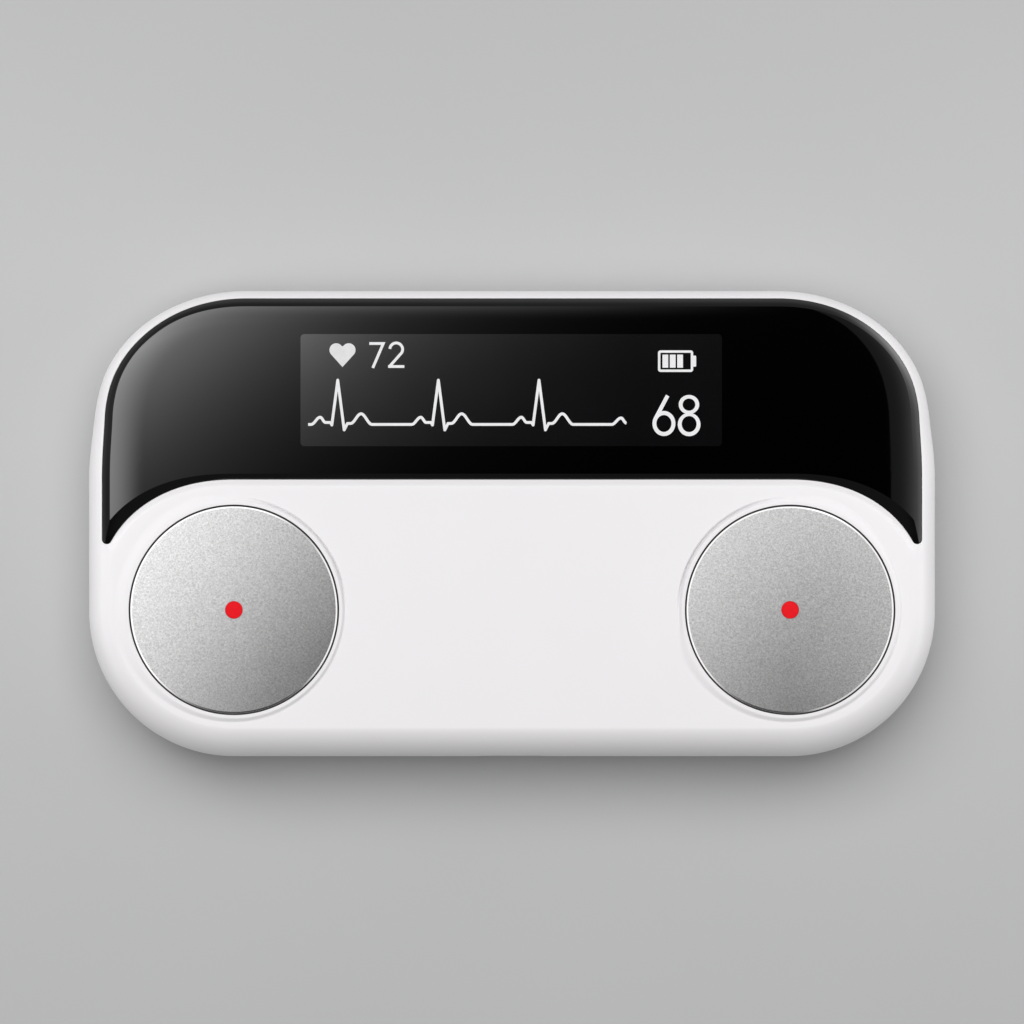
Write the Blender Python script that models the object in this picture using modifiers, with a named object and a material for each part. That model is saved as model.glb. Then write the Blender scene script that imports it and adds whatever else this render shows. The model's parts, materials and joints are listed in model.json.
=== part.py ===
"""ECG home monitor: a two-thumb heart monitor, lying on its back with its face up.

Frame, in metres: +X runs along the body to the right, +Y towards the edge above the
display, +Z out of the face. The origin is on the flat back, under the body's middle.
The front shell carries the window, the electrodes and the key. The rear shell carries
the battery. The board lies between the bosses of both and carries the electronics.
"""
import math

import bmesh
import bpy
from mathutils import Matrix, Vector

MM = 0.001

# Body
BODY_WIDTH = 100.0 * MM
BODY_HEIGHT = 55.0 * MM
WALL = 1.7 * MM
FIT_GAP = 0.05 * MM
OVERRUN = 1.0 * MM
MERGE_DISTANCE = 0.0005 * MM
BLOCK_CORNER_STEPS = 4
HALVINGS = 40

# Outline
CORNER_RUN = 17.7 * MM
CORNER_DROP = 14.8 * MM
LOWER_RADIUS = 17.1 * MM
SIDE_FLARE = 0.86 * MM
FLARE_TOP = 16.0 * MM
FLARE_LENGTH = 10.5 * MM
CORNER_STEPS = 12
SIDE_STEPS = 10
LOWER_STEPS = 12

# Parting of the two shells
PARTING_GAP = 0.1 * MM
TONGUE_INSET = 1.05 * MM
TONGUE_RISE = 0.85 * MM
TONGUE_CLEARANCE = 0.15 * MM

# Rounded edge of the front shell
FRONT_EDGE_DROP = 4.2 * MM
EDGE_RUN_SIDE = 2.8 * MM
EDGE_RUN_BOTTOM = 3.4 * MM
EDGE_STEPS = 6
LEDGE_THICKNESS = 1.2 * MM

# Rounded edge of the rear shell
REAR_EDGE_RUN = 3.6 * MM
REAR_EDGE_RISE = 3.8 * MM
REAR_EDGE_STEPS = 5
FLOOR = 1.6 * MM
FLOOR_FILLET_RUN = 2.6 * MM
FLOOR_FILLET_RISE = 2.4 * MM
FLOOR_FILLET_STEPS = 3

# Rim round the window
RIM_TOP = 0.88 * MM
RIM_CORNER = 1.12 * MM
RIM_SIDE = 1.53 * MM
RIM_DROP = 0.7 * MM
rim_growth_share = 0.67

# Window
WINDOW_THICKNESS = 1.6 * MM
WINDOW_CLEARANCE = 0.08 * MM
WINDOW_SINK = 0.45 * MM
BEVEL_DROP = 0.3 * MM
BEVEL_RUN = 0.98 * MM
BEVEL_RUN_BOTTOM = 0.7 * MM
BEVEL_RUN_TIP = 1.55 * MM
SCALLOP_RADIUS = 15.4 * MM
SCALLOP_GROWTH = 1.2 * MM
SCALLOP_SPREAD = math.radians(60.0)
SCALLOP_STEPS = 10
TIP_RADIUS = 0.55 * MM
TIP_STEPS = 5
TAPE_THICKNESS = 0.15 * MM

# Rounded upper edge of the thumb panel
PANEL_EDGE_RUN = 1.4 * MM
PANEL_EDGE_LIFT = 0.02 * MM
PANEL_EDGE_STEPS = 4

# Electrodes
ELECTRODE_INSET_X = 17.14 * MM
ELECTRODE_INSET_Y = 17.3 * MM
ELECTRODE_RADIUS = 12.15 * MM
ELECTRODE_THICKNESS = 1.1 * MM
ELECTRODE_SINK = 0.1 * MM
ELECTRODE_CHAMFER = 0.2 * MM
ELECTRODE_CLEARANCE = 0.25 * MM
ELECTRODE_SIDES = 64
LIP_LAND = 0.45 * MM
LIP_SLOPE = 0.5 * MM
LIP_RISE = 0.3 * MM
LIP_BURY = 0.3 * MM
STUD_RADIUS = 2.0 * MM
STUD_LENGTH = 2.3 * MM
STUD_CLEARANCE = 0.3 * MM
STUD_SIDES = 24
SEAL_THICKNESS = 0.2 * MM
SEAL_WIDTH = 2.2 * MM
SEAL_SIDES = 36
SEAT_FLOOR = 1.2 * MM
CORE_RADIUS = 11.0 * MM
CLIP_RADIUS = 4.2 * MM
CLIP_THICKNESS = 0.5 * MM
CLIP_SLOT = 0.7 * MM
DOT_RADIUS = 1.03 * MM
DOT_THICKNESS = 0.4 * MM
DOT_GAP = 0.03 * MM
DOT_SIDES = 32

# Panel underside
PANEL_THICKNESS = 1.6 * MM
PANEL_CORE_SIDE_WEB = 3.4 * MM
PANEL_CORE_TOP_WEB = 1.6 * MM
PANEL_CORE_BOTTOM_WEB = 3.4 * MM
PANEL_CORE_RADIUS = 2.5 * MM

# Display
DISPLAY_DROP = 0.1 * MM
DISPLAY_SIDE = 22.0 * MM
DISPLAY_BORDER = 2.31 * MM
OLED_THICKNESS = 1.4 * MM
CARRIER_HEIGHT = 3.5 * MM
OLED_AIR = 0.25 * MM
DISPLAY_OPENING_MARGIN = 0.6 * MM
DISPLAY_OPENING_RADIUS = 1.2 * MM
CARRIER_MARGIN = 0.7 * MM
CARRIER_WALL = 2.2 * MM
CARRIER_RADIUS = 1.0 * MM
FLEX_SIDE = 1.4 * MM
FLEX_THICKNESS = 0.12 * MM
FLEX_TURN_INSET = 8.0 * MM
FLEX_UPPER_RUN = 12.0 * MM
FLEX_LOWER_RUN = 5.5 * MM
FLEX_SOCKET_LENGTH = 3.6 * MM
FLEX_SOCKET_RISE = 1.2 * MM
FLEX_STEPS = 8

# Board
BOARD_THICKNESS = 1.0 * MM
BOARD_MARGIN = 0.6 * MM
BOARD_AIR = 0.4 * MM

# Battery
BATTERY_WIDTH = 44.0 * MM
BATTERY_HEIGHT = 25.0 * MM
BATTERY_THICKNESS = 3.0 * MM
BATTERY_Y = 2.5 * MM
BATTERY_RADIUS = 0.9 * MM
BATTERY_TAPE = 0.3 * MM
BATTERY_TAPE_MARGIN = 3.0 * MM
BAY_RIB_THICKNESS = 1.0 * MM
BAY_RIB_LENGTH = 16.0 * MM
BAY_RIB_RISE = 2.0 * MM
BAY_CLEARANCE = 0.4 * MM
LEAD_RADIUS = 0.45 * MM
LEAD_PITCH = 2.0 * MM
LEAD_REACH = 5.0 * MM
LEAD_BOW = 0.35 * MM
BATTERY_SOCKET_SIZE = (4.4 * MM, 5.6 * MM, 1.8 * MM)

# Case screws
UPPER_SCREW_INSET_X = 12.0 * MM
UPPER_SCREW_INSET_Y = 9.5 * MM
LOWER_SCREW_X = 15.0 * MM
LOWER_SCREW_INSET_Y = 6.7 * MM
SCREW_RADIUS = 0.9 * MM
SCREW_HEAD_RADIUS = 1.8 * MM
SCREW_HEAD_HEIGHT = 1.3 * MM
SCREW_HEAD_SINK = 1.2 * MM
SCREW_HEAD_EDGE = 0.45 * MM
SCREW_GRIP = 2.5 * MM
SCREW_CLEARANCE = 0.3 * MM
SCREW_CROSS_REACH = 1.0 * MM
SCREW_CROSS_WIDTH = 0.5 * MM
SCREW_CROSS_DEPTH = 0.7 * MM
SCREW_SIDES = 20
THREAD_CLEARANCE = 0.1 * MM
PILOT_SPARE = 0.6 * MM
BOSS_WALL = 1.5 * MM
REAR_BOSS_WALL = 0.7 * MM

# Key on the right edge
KEY_LENGTH = 10.0 * MM
KEY_WIDTH = 2.8 * MM
KEY_SINK = 0.05 * MM
KEY_CLEARANCE = 0.15 * MM
KEY_EDGE = 0.3 * MM
KEY_FLANGE = 0.6 * MM
KEY_FLANGE_THICKNESS = 0.8 * MM
KEY_STEM_LENGTH = 0.8 * MM
KEY_STEM_RADIUS = 0.9 * MM
KEY_TRAVEL = 0.4 * MM
KEY_NOTCH_CLEARANCE = 0.5 * MM
SWITCH_WIDTH = 6.0 * MM
SWITCH_DEPTH = 3.6 * MM
SWITCH_RIM = 0.6 * MM
PLUNGER_RADIUS = 0.7 * MM
PLUNGER_REACH = 0.7 * MM
PLUNGER_BURY = 0.8 * MM
PLUNGER_CLEARANCE = 0.1 * MM
PLUNGER_SIDES = 20

# Charging socket on the lower edge
SOCKET_WIDTH = 8.94 * MM
SOCKET_HEIGHT = 3.26 * MM
SOCKET_DEPTH = 7.3 * MM
SOCKET_WALL = 0.3 * MM
SOCKET_SINK = 0.5 * MM
SOCKET_CLEARANCE = 0.28 * MM
SOCKET_SIDES = 8
TONGUE_BLADE_WIDTH = 6.7 * MM
TONGUE_BLADE_THICKNESS = 0.7 * MM
TONGUE_BLADE_SINK = 0.9 * MM
TONGUE_BASE_DEPTH = 1.6 * MM
TONGUE_BASE_CLEARANCE = 0.1 * MM

# Contact springs
SPRING_WIDTH = 2.4 * MM
SPRING_THICKNESS = 0.2 * MM
SPRING_FOOT = 5.0 * MM
SPRING_BEND = 0.6 * MM
SPRING_DOME = 1.1 * MM
SPRING_TAIL = 0.8 * MM
SPRING_STEPS = 5

# Parts on the board: size of each, and how far it lies from the board's middle across
# and from the electrodes' middle up the board
CHIP_EDGE = 0.12 * MM
PROCESSOR_SIZE = (7.0 * MM, 7.0 * MM, 0.9 * MM)
PROCESSOR_OFFSET = (0.0, 6.7 * MM)
ECG_CHIP_SIZE = (5.0 * MM, 5.0 * MM, 0.8 * MM)
ECG_CHIP_OFFSET = (-11.0 * MM, 11.2 * MM)
MEMORY_SIZE = (6.0 * MM, 5.0 * MM, 0.8 * MM)
MEMORY_OFFSET = (0.0, -0.8 * MM)
RADIO_SIZE = (9.0 * MM, 8.0 * MM, 1.8 * MM)
RADIO_OFFSET = (11.0 * MM, 3.2 * MM)
BUZZER_RADIUS = 4.2 * MM
BUZZER_HEIGHT = 2.0 * MM
BUZZER_HOLE = 0.8 * MM
BUZZER_OFFSET = (-11.0 * MM, 1.2 * MM)
BUZZER_SIDES = 36

# Heights that follow from the sizes above, stacked from the back up
BATTERY_BOTTOM = FLOOR + BATTERY_TAPE + 2.0 * FIT_GAP
PARTING_HEIGHT = BATTERY_BOTTOM + BATTERY_THICKNESS + BOARD_AIR
FRONT_SHELL_BOTTOM = PARTING_HEIGHT + PARTING_GAP / 2.0
REAR_SHELL_TOP = PARTING_HEIGHT - PARTING_GAP / 2.0
TONGUE_TOP = REAR_SHELL_TOP + TONGUE_RISE
BOARD_BOTTOM = PARTING_HEIGHT
BOARD_TOP = BOARD_BOTTOM + BOARD_THICKNESS
PARTS_BASE = BOARD_TOP + FIT_GAP
OLED_BACK = PARTS_BASE + CARRIER_HEIGHT + FIT_GAP
OLED_TOP = OLED_BACK + OLED_THICKNESS
WINDOW_BACK = OLED_TOP + OLED_AIR
WINDOW_FACE = WINDOW_BACK + WINDOW_THICKNESS
WINDOW_SEAT = WINDOW_BACK - TAPE_THICKNESS - 2.0 * FIT_GAP
CEILING_HEIGHT = WINDOW_SEAT - LEDGE_THICKNESS
PANEL_HEIGHT = WINDOW_FACE + WINDOW_SINK
LIP_TOP = PANEL_HEIGHT + LIP_RISE
EDGE_START = PANEL_HEIGHT - FRONT_EDGE_DROP
RIM_HEIGHT = PANEL_HEIGHT - RIM_DROP
PANEL_EDGE_START = RIM_HEIGHT + PANEL_EDGE_LIFT
ELECTRODE_FACE = LIP_TOP - ELECTRODE_SINK
ELECTRODE_BACK = ELECTRODE_FACE - ELECTRODE_THICKNESS
ELECTRODE_SEAT = ELECTRODE_BACK - SEAL_THICKNESS - 2.0 * FIT_GAP
SEAT_UNDERSIDE = ELECTRODE_SEAT - SEAT_FLOOR
STUD_END = ELECTRODE_BACK - STUD_LENGTH
SEAT_RADIUS = ELECTRODE_RADIUS + ELECTRODE_CLEARANCE
KEY_HEIGHT = TONGUE_TOP + 2.0 * TONGUE_CLEARANCE + KEY_CLEARANCE + KEY_WIDTH / 2.0
SWITCH_TOP = KEY_HEIGHT + PLUNGER_RADIUS + SWITCH_RIM
SOCKET_CENTRE = PARTS_BASE + SOCKET_HEIGHT / 2.0
SCREW_HEAD_SEAT = SCREW_HEAD_SINK + SCREW_HEAD_HEIGHT
SCREW_END = BOARD_TOP + SCREW_GRIP

# Places in the plan that follow from the sizes above
TOP_RUN = BODY_WIDTH / 2.0 - SIDE_FLARE - CORNER_RUN
CORNER_CENTRE_Y = BODY_HEIGHT / 2.0 - CORNER_DROP
LOWER_CENTRE_X = BODY_WIDTH / 2.0 - LOWER_RADIUS
LOWER_CENTRE_Y = LOWER_RADIUS - BODY_HEIGHT / 2.0
ELECTRODE_X = BODY_WIDTH / 2.0 - ELECTRODE_INSET_X
ELECTRODE_Y = ELECTRODE_INSET_Y - BODY_HEIGHT / 2.0
WINDOW_SIDE = BODY_WIDTH / 2.0 - RIM_SIDE
WINDOW_TOP = BODY_HEIGHT / 2.0 - RIM_TOP
WINDOW_BOTTOM = ELECTRODE_Y + SCALLOP_RADIUS
DISPLAY_Y = (WINDOW_TOP + WINDOW_BOTTOM) / 2.0 - DISPLAY_DROP
OLED_WIDTH = BODY_WIDTH - 2.0 * DISPLAY_SIDE
OLED_HEIGHT = WINDOW_TOP - WINDOW_BOTTOM - 2.0 * DISPLAY_BORDER
FLEX_WIDTH = OLED_HEIGHT + 2.0 * (CARRIER_MARGIN - CARRIER_WALL - FLEX_SIDE)
FLEX_TURN_X = OLED_WIDTH / 2.0 - FLEX_TURN_INSET
FLEX_START_X = FLEX_TURN_X - FLEX_UPPER_RUN
FLEX_END_X = FLEX_TURN_X - FLEX_LOWER_RUN
KEY_Y = (FLARE_TOP - FLARE_LENGTH + LOWER_CENTRE_Y) / 2.0
UPPER_SCREW_X = BODY_WIDTH / 2.0 - UPPER_SCREW_INSET_X
UPPER_SCREW_Y = BODY_HEIGHT / 2.0 - UPPER_SCREW_INSET_Y
LOWER_SCREW_Y = LOWER_SCREW_INSET_Y - BODY_HEIGHT / 2.0
side_shares = {"left": -1.0, "right": 1.0}
SCREW_PLACES = [
    (-UPPER_SCREW_X, UPPER_SCREW_Y),
    (UPPER_SCREW_X, UPPER_SCREW_Y),
    (-LOWER_SCREW_X, LOWER_SCREW_Y),
    (LOWER_SCREW_X, LOWER_SCREW_Y),
]

# Colours: base colour, metallic, roughness
FINISHES = {
    "white_abs": ((0.83, 0.82, 0.825), 0.0, 0.38),
    "black_acrylic": ((0.004, 0.004, 0.005), 0.0, 0.06),
    "blasted_steel": ((0.62, 0.62, 0.61), 1.0, 0.38),
    "red_enamel": ((0.76, 0.016, 0.022), 0.0, 0.3),
    "dark_rubber": ((0.03, 0.03, 0.032), 0.0, 0.7),
    "tape": ((0.02, 0.02, 0.02), 0.0, 0.8),
    "display_glass": ((0.012, 0.013, 0.015), 0.0, 0.1),
    "grey_plastic": ((0.3, 0.3, 0.31), 0.0, 0.5),
    "board_green": ((0.02, 0.11, 0.05), 0.0, 0.45),
    "chip_black": ((0.02, 0.02, 0.022), 0.0, 0.5),
    "spring_steel": ((0.55, 0.53, 0.5), 1.0, 0.3),
    "amber_film": ((0.45, 0.2, 0.03), 0.0, 0.4),
    "cell_foil": ((0.5, 0.5, 0.52), 0.6, 0.45),
    "red_wire": ((0.6, 0.02, 0.02), 0.0, 0.45),
    "black_wire": ((0.02, 0.02, 0.02), 0.0, 0.45),
    "zinc": ((0.5, 0.5, 0.5), 1.0, 0.35),
}

SHARP_ANGLE = math.radians(35.0)

# The housings take so many cuts that EXACT leaves hairline slits in them
SOLVERS = {"front_housing": "MANIFOLD", "rear_housing": "MANIFOLD"}


def clear_scene():
    for old in list(bpy.data.objects):
        bpy.data.objects.remove(old, do_unlink=True)


def make_collection(name):
    collection = bpy.data.collections.new(name)
    bpy.context.scene.collection.children.link(collection)
    return collection


def make_material(name):
    colour, metallic, roughness = FINISHES[name]
    material = bpy.data.materials.new(name)
    material.use_nodes = True
    shader = material.node_tree.nodes["Principled BSDF"]
    shader.inputs["Base Color"].default_value = (*colour, 1.0)
    shader.inputs["Metallic"].default_value = metallic
    shader.inputs["Roughness"].default_value = roughness
    return material


clear_scene()
PARTS = make_collection("ecg_home_monitor")
CUTTERS = make_collection("cutters")
MATERIALS = {name: make_material(name) for name in FINISHES}


def place(name, shape, finish, location=(0.0, 0.0, 0.0)):
    """Make an object from a bmesh. With no finish it is a cutter."""
    bmesh.ops.recalc_face_normals(shape, faces=shape.faces)
    mesh = bpy.data.meshes.new(name)
    shape.to_mesh(mesh)
    shape.free()
    mesh.shade_smooth()
    mesh.set_sharp_from_angle(angle=SHARP_ANGLE)
    thing = bpy.data.objects.new(name, mesh)
    thing.location = location
    if finish is None:
        CUTTERS.objects.link(thing)
        thing.hide_render = True
        thing.display_type = "WIRE"
    else:
        mesh.materials.append(MATERIALS[finish])
        PARTS.objects.link(thing)
    return thing


def boolean(thing, tool, operation):
    modifier = thing.modifiers.new(tool.name, "BOOLEAN")
    modifier.operation = operation
    modifier.solver = SOLVERS.get(thing.name, "EXACT")
    modifier.object = tool
    return thing


def cut(thing, tool):
    return boolean(thing, tool, "DIFFERENCE")


def join(thing, tool):
    return boolean(thing, tool, "UNION")


def smooth(t):
    """Rise from 0 to 1 with level ends."""
    t = min(1.0, max(0.0, t))
    return t * t * (3.0 - 2.0 * t)


def mix(low, high, share):
    return low + (high - low) * share


def loft(name, rings, finish, location=(0.0, 0.0, 0.0), merge=0.0):
    """Skin a stack of closed rings with equal counts and cap both ends."""
    shape = bmesh.new()
    rows = [[shape.verts.new(point) for point in ring] for ring in rings]
    count = len(rows[0])
    for low, high in zip(rows, rows[1:]):
        for i in range(count):
            j = (i + 1) % count
            shape.faces.new((low[i], low[j], high[j], high[i]))
    shape.faces.new(list(reversed(rows[0])))
    shape.faces.new(rows[-1])
    if merge:
        bmesh.ops.remove_doubles(shape, verts=shape.verts, dist=merge)
    return place(name, shape, finish, location)


def prism(name, outline, low, high, finish):
    """Extrude a flat outline of (x, y) points from one height to another."""
    rings = [[(x, y, z) for x, y in outline] for z in (low, high)]
    return loft(name, rings, finish)


def block(name, size, centre, finish, radius=0.0, edge=0.0):
    """A box from a primitive cube: upright corners rounded by radius, all edges by edge."""
    shape = bmesh.new()
    bmesh.ops.create_cube(shape, size=1.0, matrix=Matrix.Diagonal((*size, 1.0)))
    thing = place(name, shape, finish, centre)
    if radius:
        weights = thing.data.attributes.new("bevel_weight_edge", "FLOAT", "EDGE")
        for line in thing.data.edges:
            ends = [thing.data.vertices[i].co for i in line.vertices]
            upright = abs(ends[0].z - ends[1].z) > size[2] / 2.0
            weights.data[line.index].value = 1.0 if upright else 0.0
        corner = thing.modifiers.new("corners", "BEVEL")
        corner.limit_method = "WEIGHT"
        corner.width = radius
        corner.segments = BLOCK_CORNER_STEPS
    if edge:
        softener = thing.modifiers.new("edges", "BEVEL")
        softener.limit_method = "ANGLE"
        softener.width = edge
        softener.segments = 1
    return thing


def turned(name, profile, sides, finish, location=(0.0, 0.0, 0.0), turn=None):
    """Turn a profile of (radius, height) points, outer side top to bottom, about Z."""
    shape = bmesh.new()
    points = [shape.verts.new((radius, 0.0, height)) for radius, height in profile]
    for above, below in zip(points, points[1:]):
        shape.edges.new((above, below))
    if profile[0][0] > 0.0:
        shape.edges.new((points[-1], points[0]))
    mesh = bpy.data.meshes.new(name)
    shape.to_mesh(mesh)
    shape.free()
    thing = bpy.data.objects.new(name, mesh)
    thing.location = location
    if turn is not None:
        thing.rotation_euler = turn
    screw = thing.modifiers.new("turn", "SCREW")
    screw.steps = sides
    screw.render_steps = sides
    screw.use_merge_vertices = True
    screw.merge_threshold = MERGE_DISTANCE
    if finish is None:
        CUTTERS.objects.link(thing)
        thing.hide_render = True
        thing.display_type = "WIRE"
    else:
        mesh.materials.append(MATERIALS[finish])
        PARTS.objects.link(thing)
    return thing


def rod(name, radius, low, high, place_xy, sides, finish=None):
    """An upright round bar or hole."""
    profile = [(0.0, high), (radius, high), (radius, low), (0.0, low)]
    return turned(name, profile, sides, finish, (*place_xy, 0.0))


def strip(name, path, width, thickness, centre, finish):
    """A bent strip: an open ribbon along (x, z) points, given thickness by Solidify."""
    shape = bmesh.new()
    rows = [
        [shape.verts.new((x, side * width / 2.0, z)) for side in (-1.0, 1.0)]
        for x, z in path
    ]
    for (a, b), (c, d) in zip(rows, rows[1:]):
        shape.faces.new((a, b, d, c))
    mesh = bpy.data.meshes.new(name)
    shape.to_mesh(mesh)
    shape.free()
    mesh.shade_smooth()
    mesh.materials.append(MATERIALS[finish])
    thing = bpy.data.objects.new(name, mesh)
    thing.location = centre
    PARTS.objects.link(thing)
    solid = thing.modifiers.new("thickness", "SOLIDIFY")
    solid.thickness = thickness
    solid.offset = 0.0
    return thing


def outline_point(u):
    """The right half of the outline. u runs 0 to 1 along the top edge, to 2 round the
    upper corner, to 3 down the side, to 4 round the lower corner, to 5 to the middle."""
    if u <= 1.0:
        x, y = TOP_RUN * u, BODY_HEIGHT / 2.0
    elif u <= 2.0:
        turn = (2.0 - u) * math.pi / 2.0
        x = TOP_RUN + CORNER_RUN * math.cos(turn)
        y = CORNER_CENTRE_Y + CORNER_DROP * math.sin(turn)
    elif u <= 3.0:
        x, y = TOP_RUN + CORNER_RUN, mix(CORNER_CENTRE_Y, LOWER_CENTRE_Y, u - 2.0)
    elif u <= 4.0:
        turn = (u - 3.0) * math.pi / 2.0
        x = LOWER_CENTRE_X + LOWER_RADIUS * math.cos(turn)
        y = LOWER_CENTRE_Y - LOWER_RADIUS * math.sin(turn)
    else:
        x, y = LOWER_CENTRE_X * (5.0 - u), -BODY_HEIGHT / 2.0
    if u <= 3.0:
        x += SIDE_FLARE * flare_share(y)
    return Vector((x, y))


def flare_share(y):
    """How far the side has swung out, from 0 beside the display to 1 below it."""
    return smooth((FLARE_TOP - y) / FLARE_LENGTH)


def outline_normal(u):
    step_share = 0.001
    along = outline_point(min(5.0, u + step_share)) - outline_point(max(0.0, u - step_share))
    along.normalize()
    return Vector((-along.y, along.x))


def stations():
    """Where the outline is sampled, from the upper corner's start to the lower one's end."""
    corner = [1.0 + i / CORNER_STEPS for i in range(CORNER_STEPS)]
    side = [2.0 + i / SIDE_STEPS for i in range(SIDE_STEPS)]
    lower = [3.0 + i / LOWER_STEPS for i in range(LOWER_STEPS + 1)]
    return corner + side + lower


def mirrored(half):
    """Close a right half, given from top to bottom, with its mirror image."""
    return half + [(-x, y) for x, y in reversed(half)]


def body_outline(inset):
    """The outline drawn in by inset(u)."""
    half = []
    for u in stations():
        point = outline_point(u) - outline_normal(u) * inset(u)
        half.append((point.x, point.y))
    return mirrored(half)


def body_ring(inset, height):
    return [(x, y, height) for x, y in body_outline(inset)]


def even(width):
    """An inset that is the same all round."""
    return lambda u: width


def rim_width(u):
    """The white rim between the outline and the window."""
    corner = smooth((u - 1.0) / rim_growth_share)
    flare = flare_share(outline_point(u).y)
    return RIM_TOP + (RIM_CORNER - RIM_TOP) * corner + (RIM_SIDE - RIM_CORNER) * flare


def front_edge_run(u):
    """Width of the front shell's rounded edge. Beside the window it is set so that the
    edge passes through the rim's inner edge at the rim's height."""
    climb = (RIM_HEIGHT - EDGE_START) / FRONT_EDGE_DROP
    upper = rim_width(u) / (1.0 - math.sqrt(1.0 - climb * climb))
    lower = mix(EDGE_RUN_SIDE, EDGE_RUN_BOTTOM, smooth(u - 3.0))
    tip = tip_centre().y - TIP_RADIUS
    share = smooth((outline_point(u).y - tip) / (WINDOW_BOTTOM - tip))
    return mix(lower, upper, share)


def scallop_radius(angle):
    """Distance from the electrode's middle to the window's lower edge. The angle is from
    straight up, outwards."""
    return SCALLOP_RADIUS + SCALLOP_GROWTH * smooth(angle / SCALLOP_SPREAD)


def meeting_angle(inset, reach):
    """The angle at which the scallop, moved out by reach, meets the side drawn in by
    inset, found by halving."""
    low, high = 0.0, math.pi / 2.0
    target = WINDOW_SIDE - inset - ELECTRODE_X
    for _ in range(HALVINGS):
        middle = (low + high) / 2.0
        if (scallop_radius(middle) + reach) * math.sin(middle) < target:
            low = middle
        else:
            high = middle
    return low


def tip_centre():
    """Middle of the small round that ends each tip of the window."""
    angle = meeting_angle(TIP_RADIUS, TIP_RADIUS)
    y = ELECTRODE_Y + (scallop_radius(angle) + TIP_RADIUS) * math.cos(angle)
    return Vector((WINDOW_SIDE - TIP_RADIUS, y))


def bevel_run_scallop(angle):
    return mix(BEVEL_RUN_BOTTOM, BEVEL_RUN_TIP, smooth(angle / SCALLOP_SPREAD))


def window_half():
    """The window's right half, from the top edge down the side, round the tip and back
    along the scallop: (point, outward normal, bevel run) for each station."""
    rows = []
    tip = tip_centre()
    for u in stations():
        if u > 3.0 or outline_point(u).y < tip.y:
            break
        normal = outline_normal(u)
        rows.append((outline_point(u) - normal * rim_width(u), normal, BEVEL_RUN))
    end = meeting_angle(TIP_RADIUS, TIP_RADIUS)
    sweep = math.pi / 2.0 + end
    for i in range(TIP_STEPS + 1):
        turn = -sweep * i / TIP_STEPS
        normal = Vector((math.cos(turn), math.sin(turn)))
        rows.append((tip + normal * TIP_RADIUS, normal, None))
    for i in range(1, SCALLOP_STEPS + 1):
        angle = end * (1.0 - i / SCALLOP_STEPS)
        outwards = Vector((math.sin(angle), math.cos(angle)))
        point = Vector((ELECTRODE_X, ELECTRODE_Y)) + outwards * scallop_radius(angle)
        rows.append((point, -outwards, bevel_run_scallop(angle)))
    return rows


def window_outline(offset):
    """The window's outline, moved outwards by offset."""
    half = [point + normal * offset for point, normal, _ in window_half()]
    return mirrored([(point.x, point.y) for point in half])


def window_face_outline():
    """The inner edge of the bevel. It comes to a sharp corner inside each tip, where all
    the stations past the corner meet."""
    low, high = 0.0, math.pi / 2.0
    for _ in range(HALVINGS):
        angle = (low + high) / 2.0
        reach = (scallop_radius(angle) + bevel_run_scallop(angle)) * math.sin(angle)
        if reach < WINDOW_SIDE - BEVEL_RUN - ELECTRODE_X:
            low = angle
        else:
            high = angle
    radius = scallop_radius(low) + bevel_run_scallop(low)
    corner = Vector((ELECTRODE_X, ELECTRODE_Y)) + Vector((math.sin(low), math.cos(low))) * radius
    half = []
    for point, normal, run in window_half():
        inner = corner if run is None else point - normal * run
        past_side = normal.x > 0.0 and inner.y < corner.y
        past_scallop = normal.y < 0.0 and run is not None and inner.x > corner.x
        if past_side or past_scallop:
            inner = corner
        half.append((inner.x, inner.y))
    return mirrored(half)


def arc_steps(count):
    """Angles from 0 to a quarter turn."""
    return [math.pi / 2.0 * i / count for i in range(count + 1)]


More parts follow.
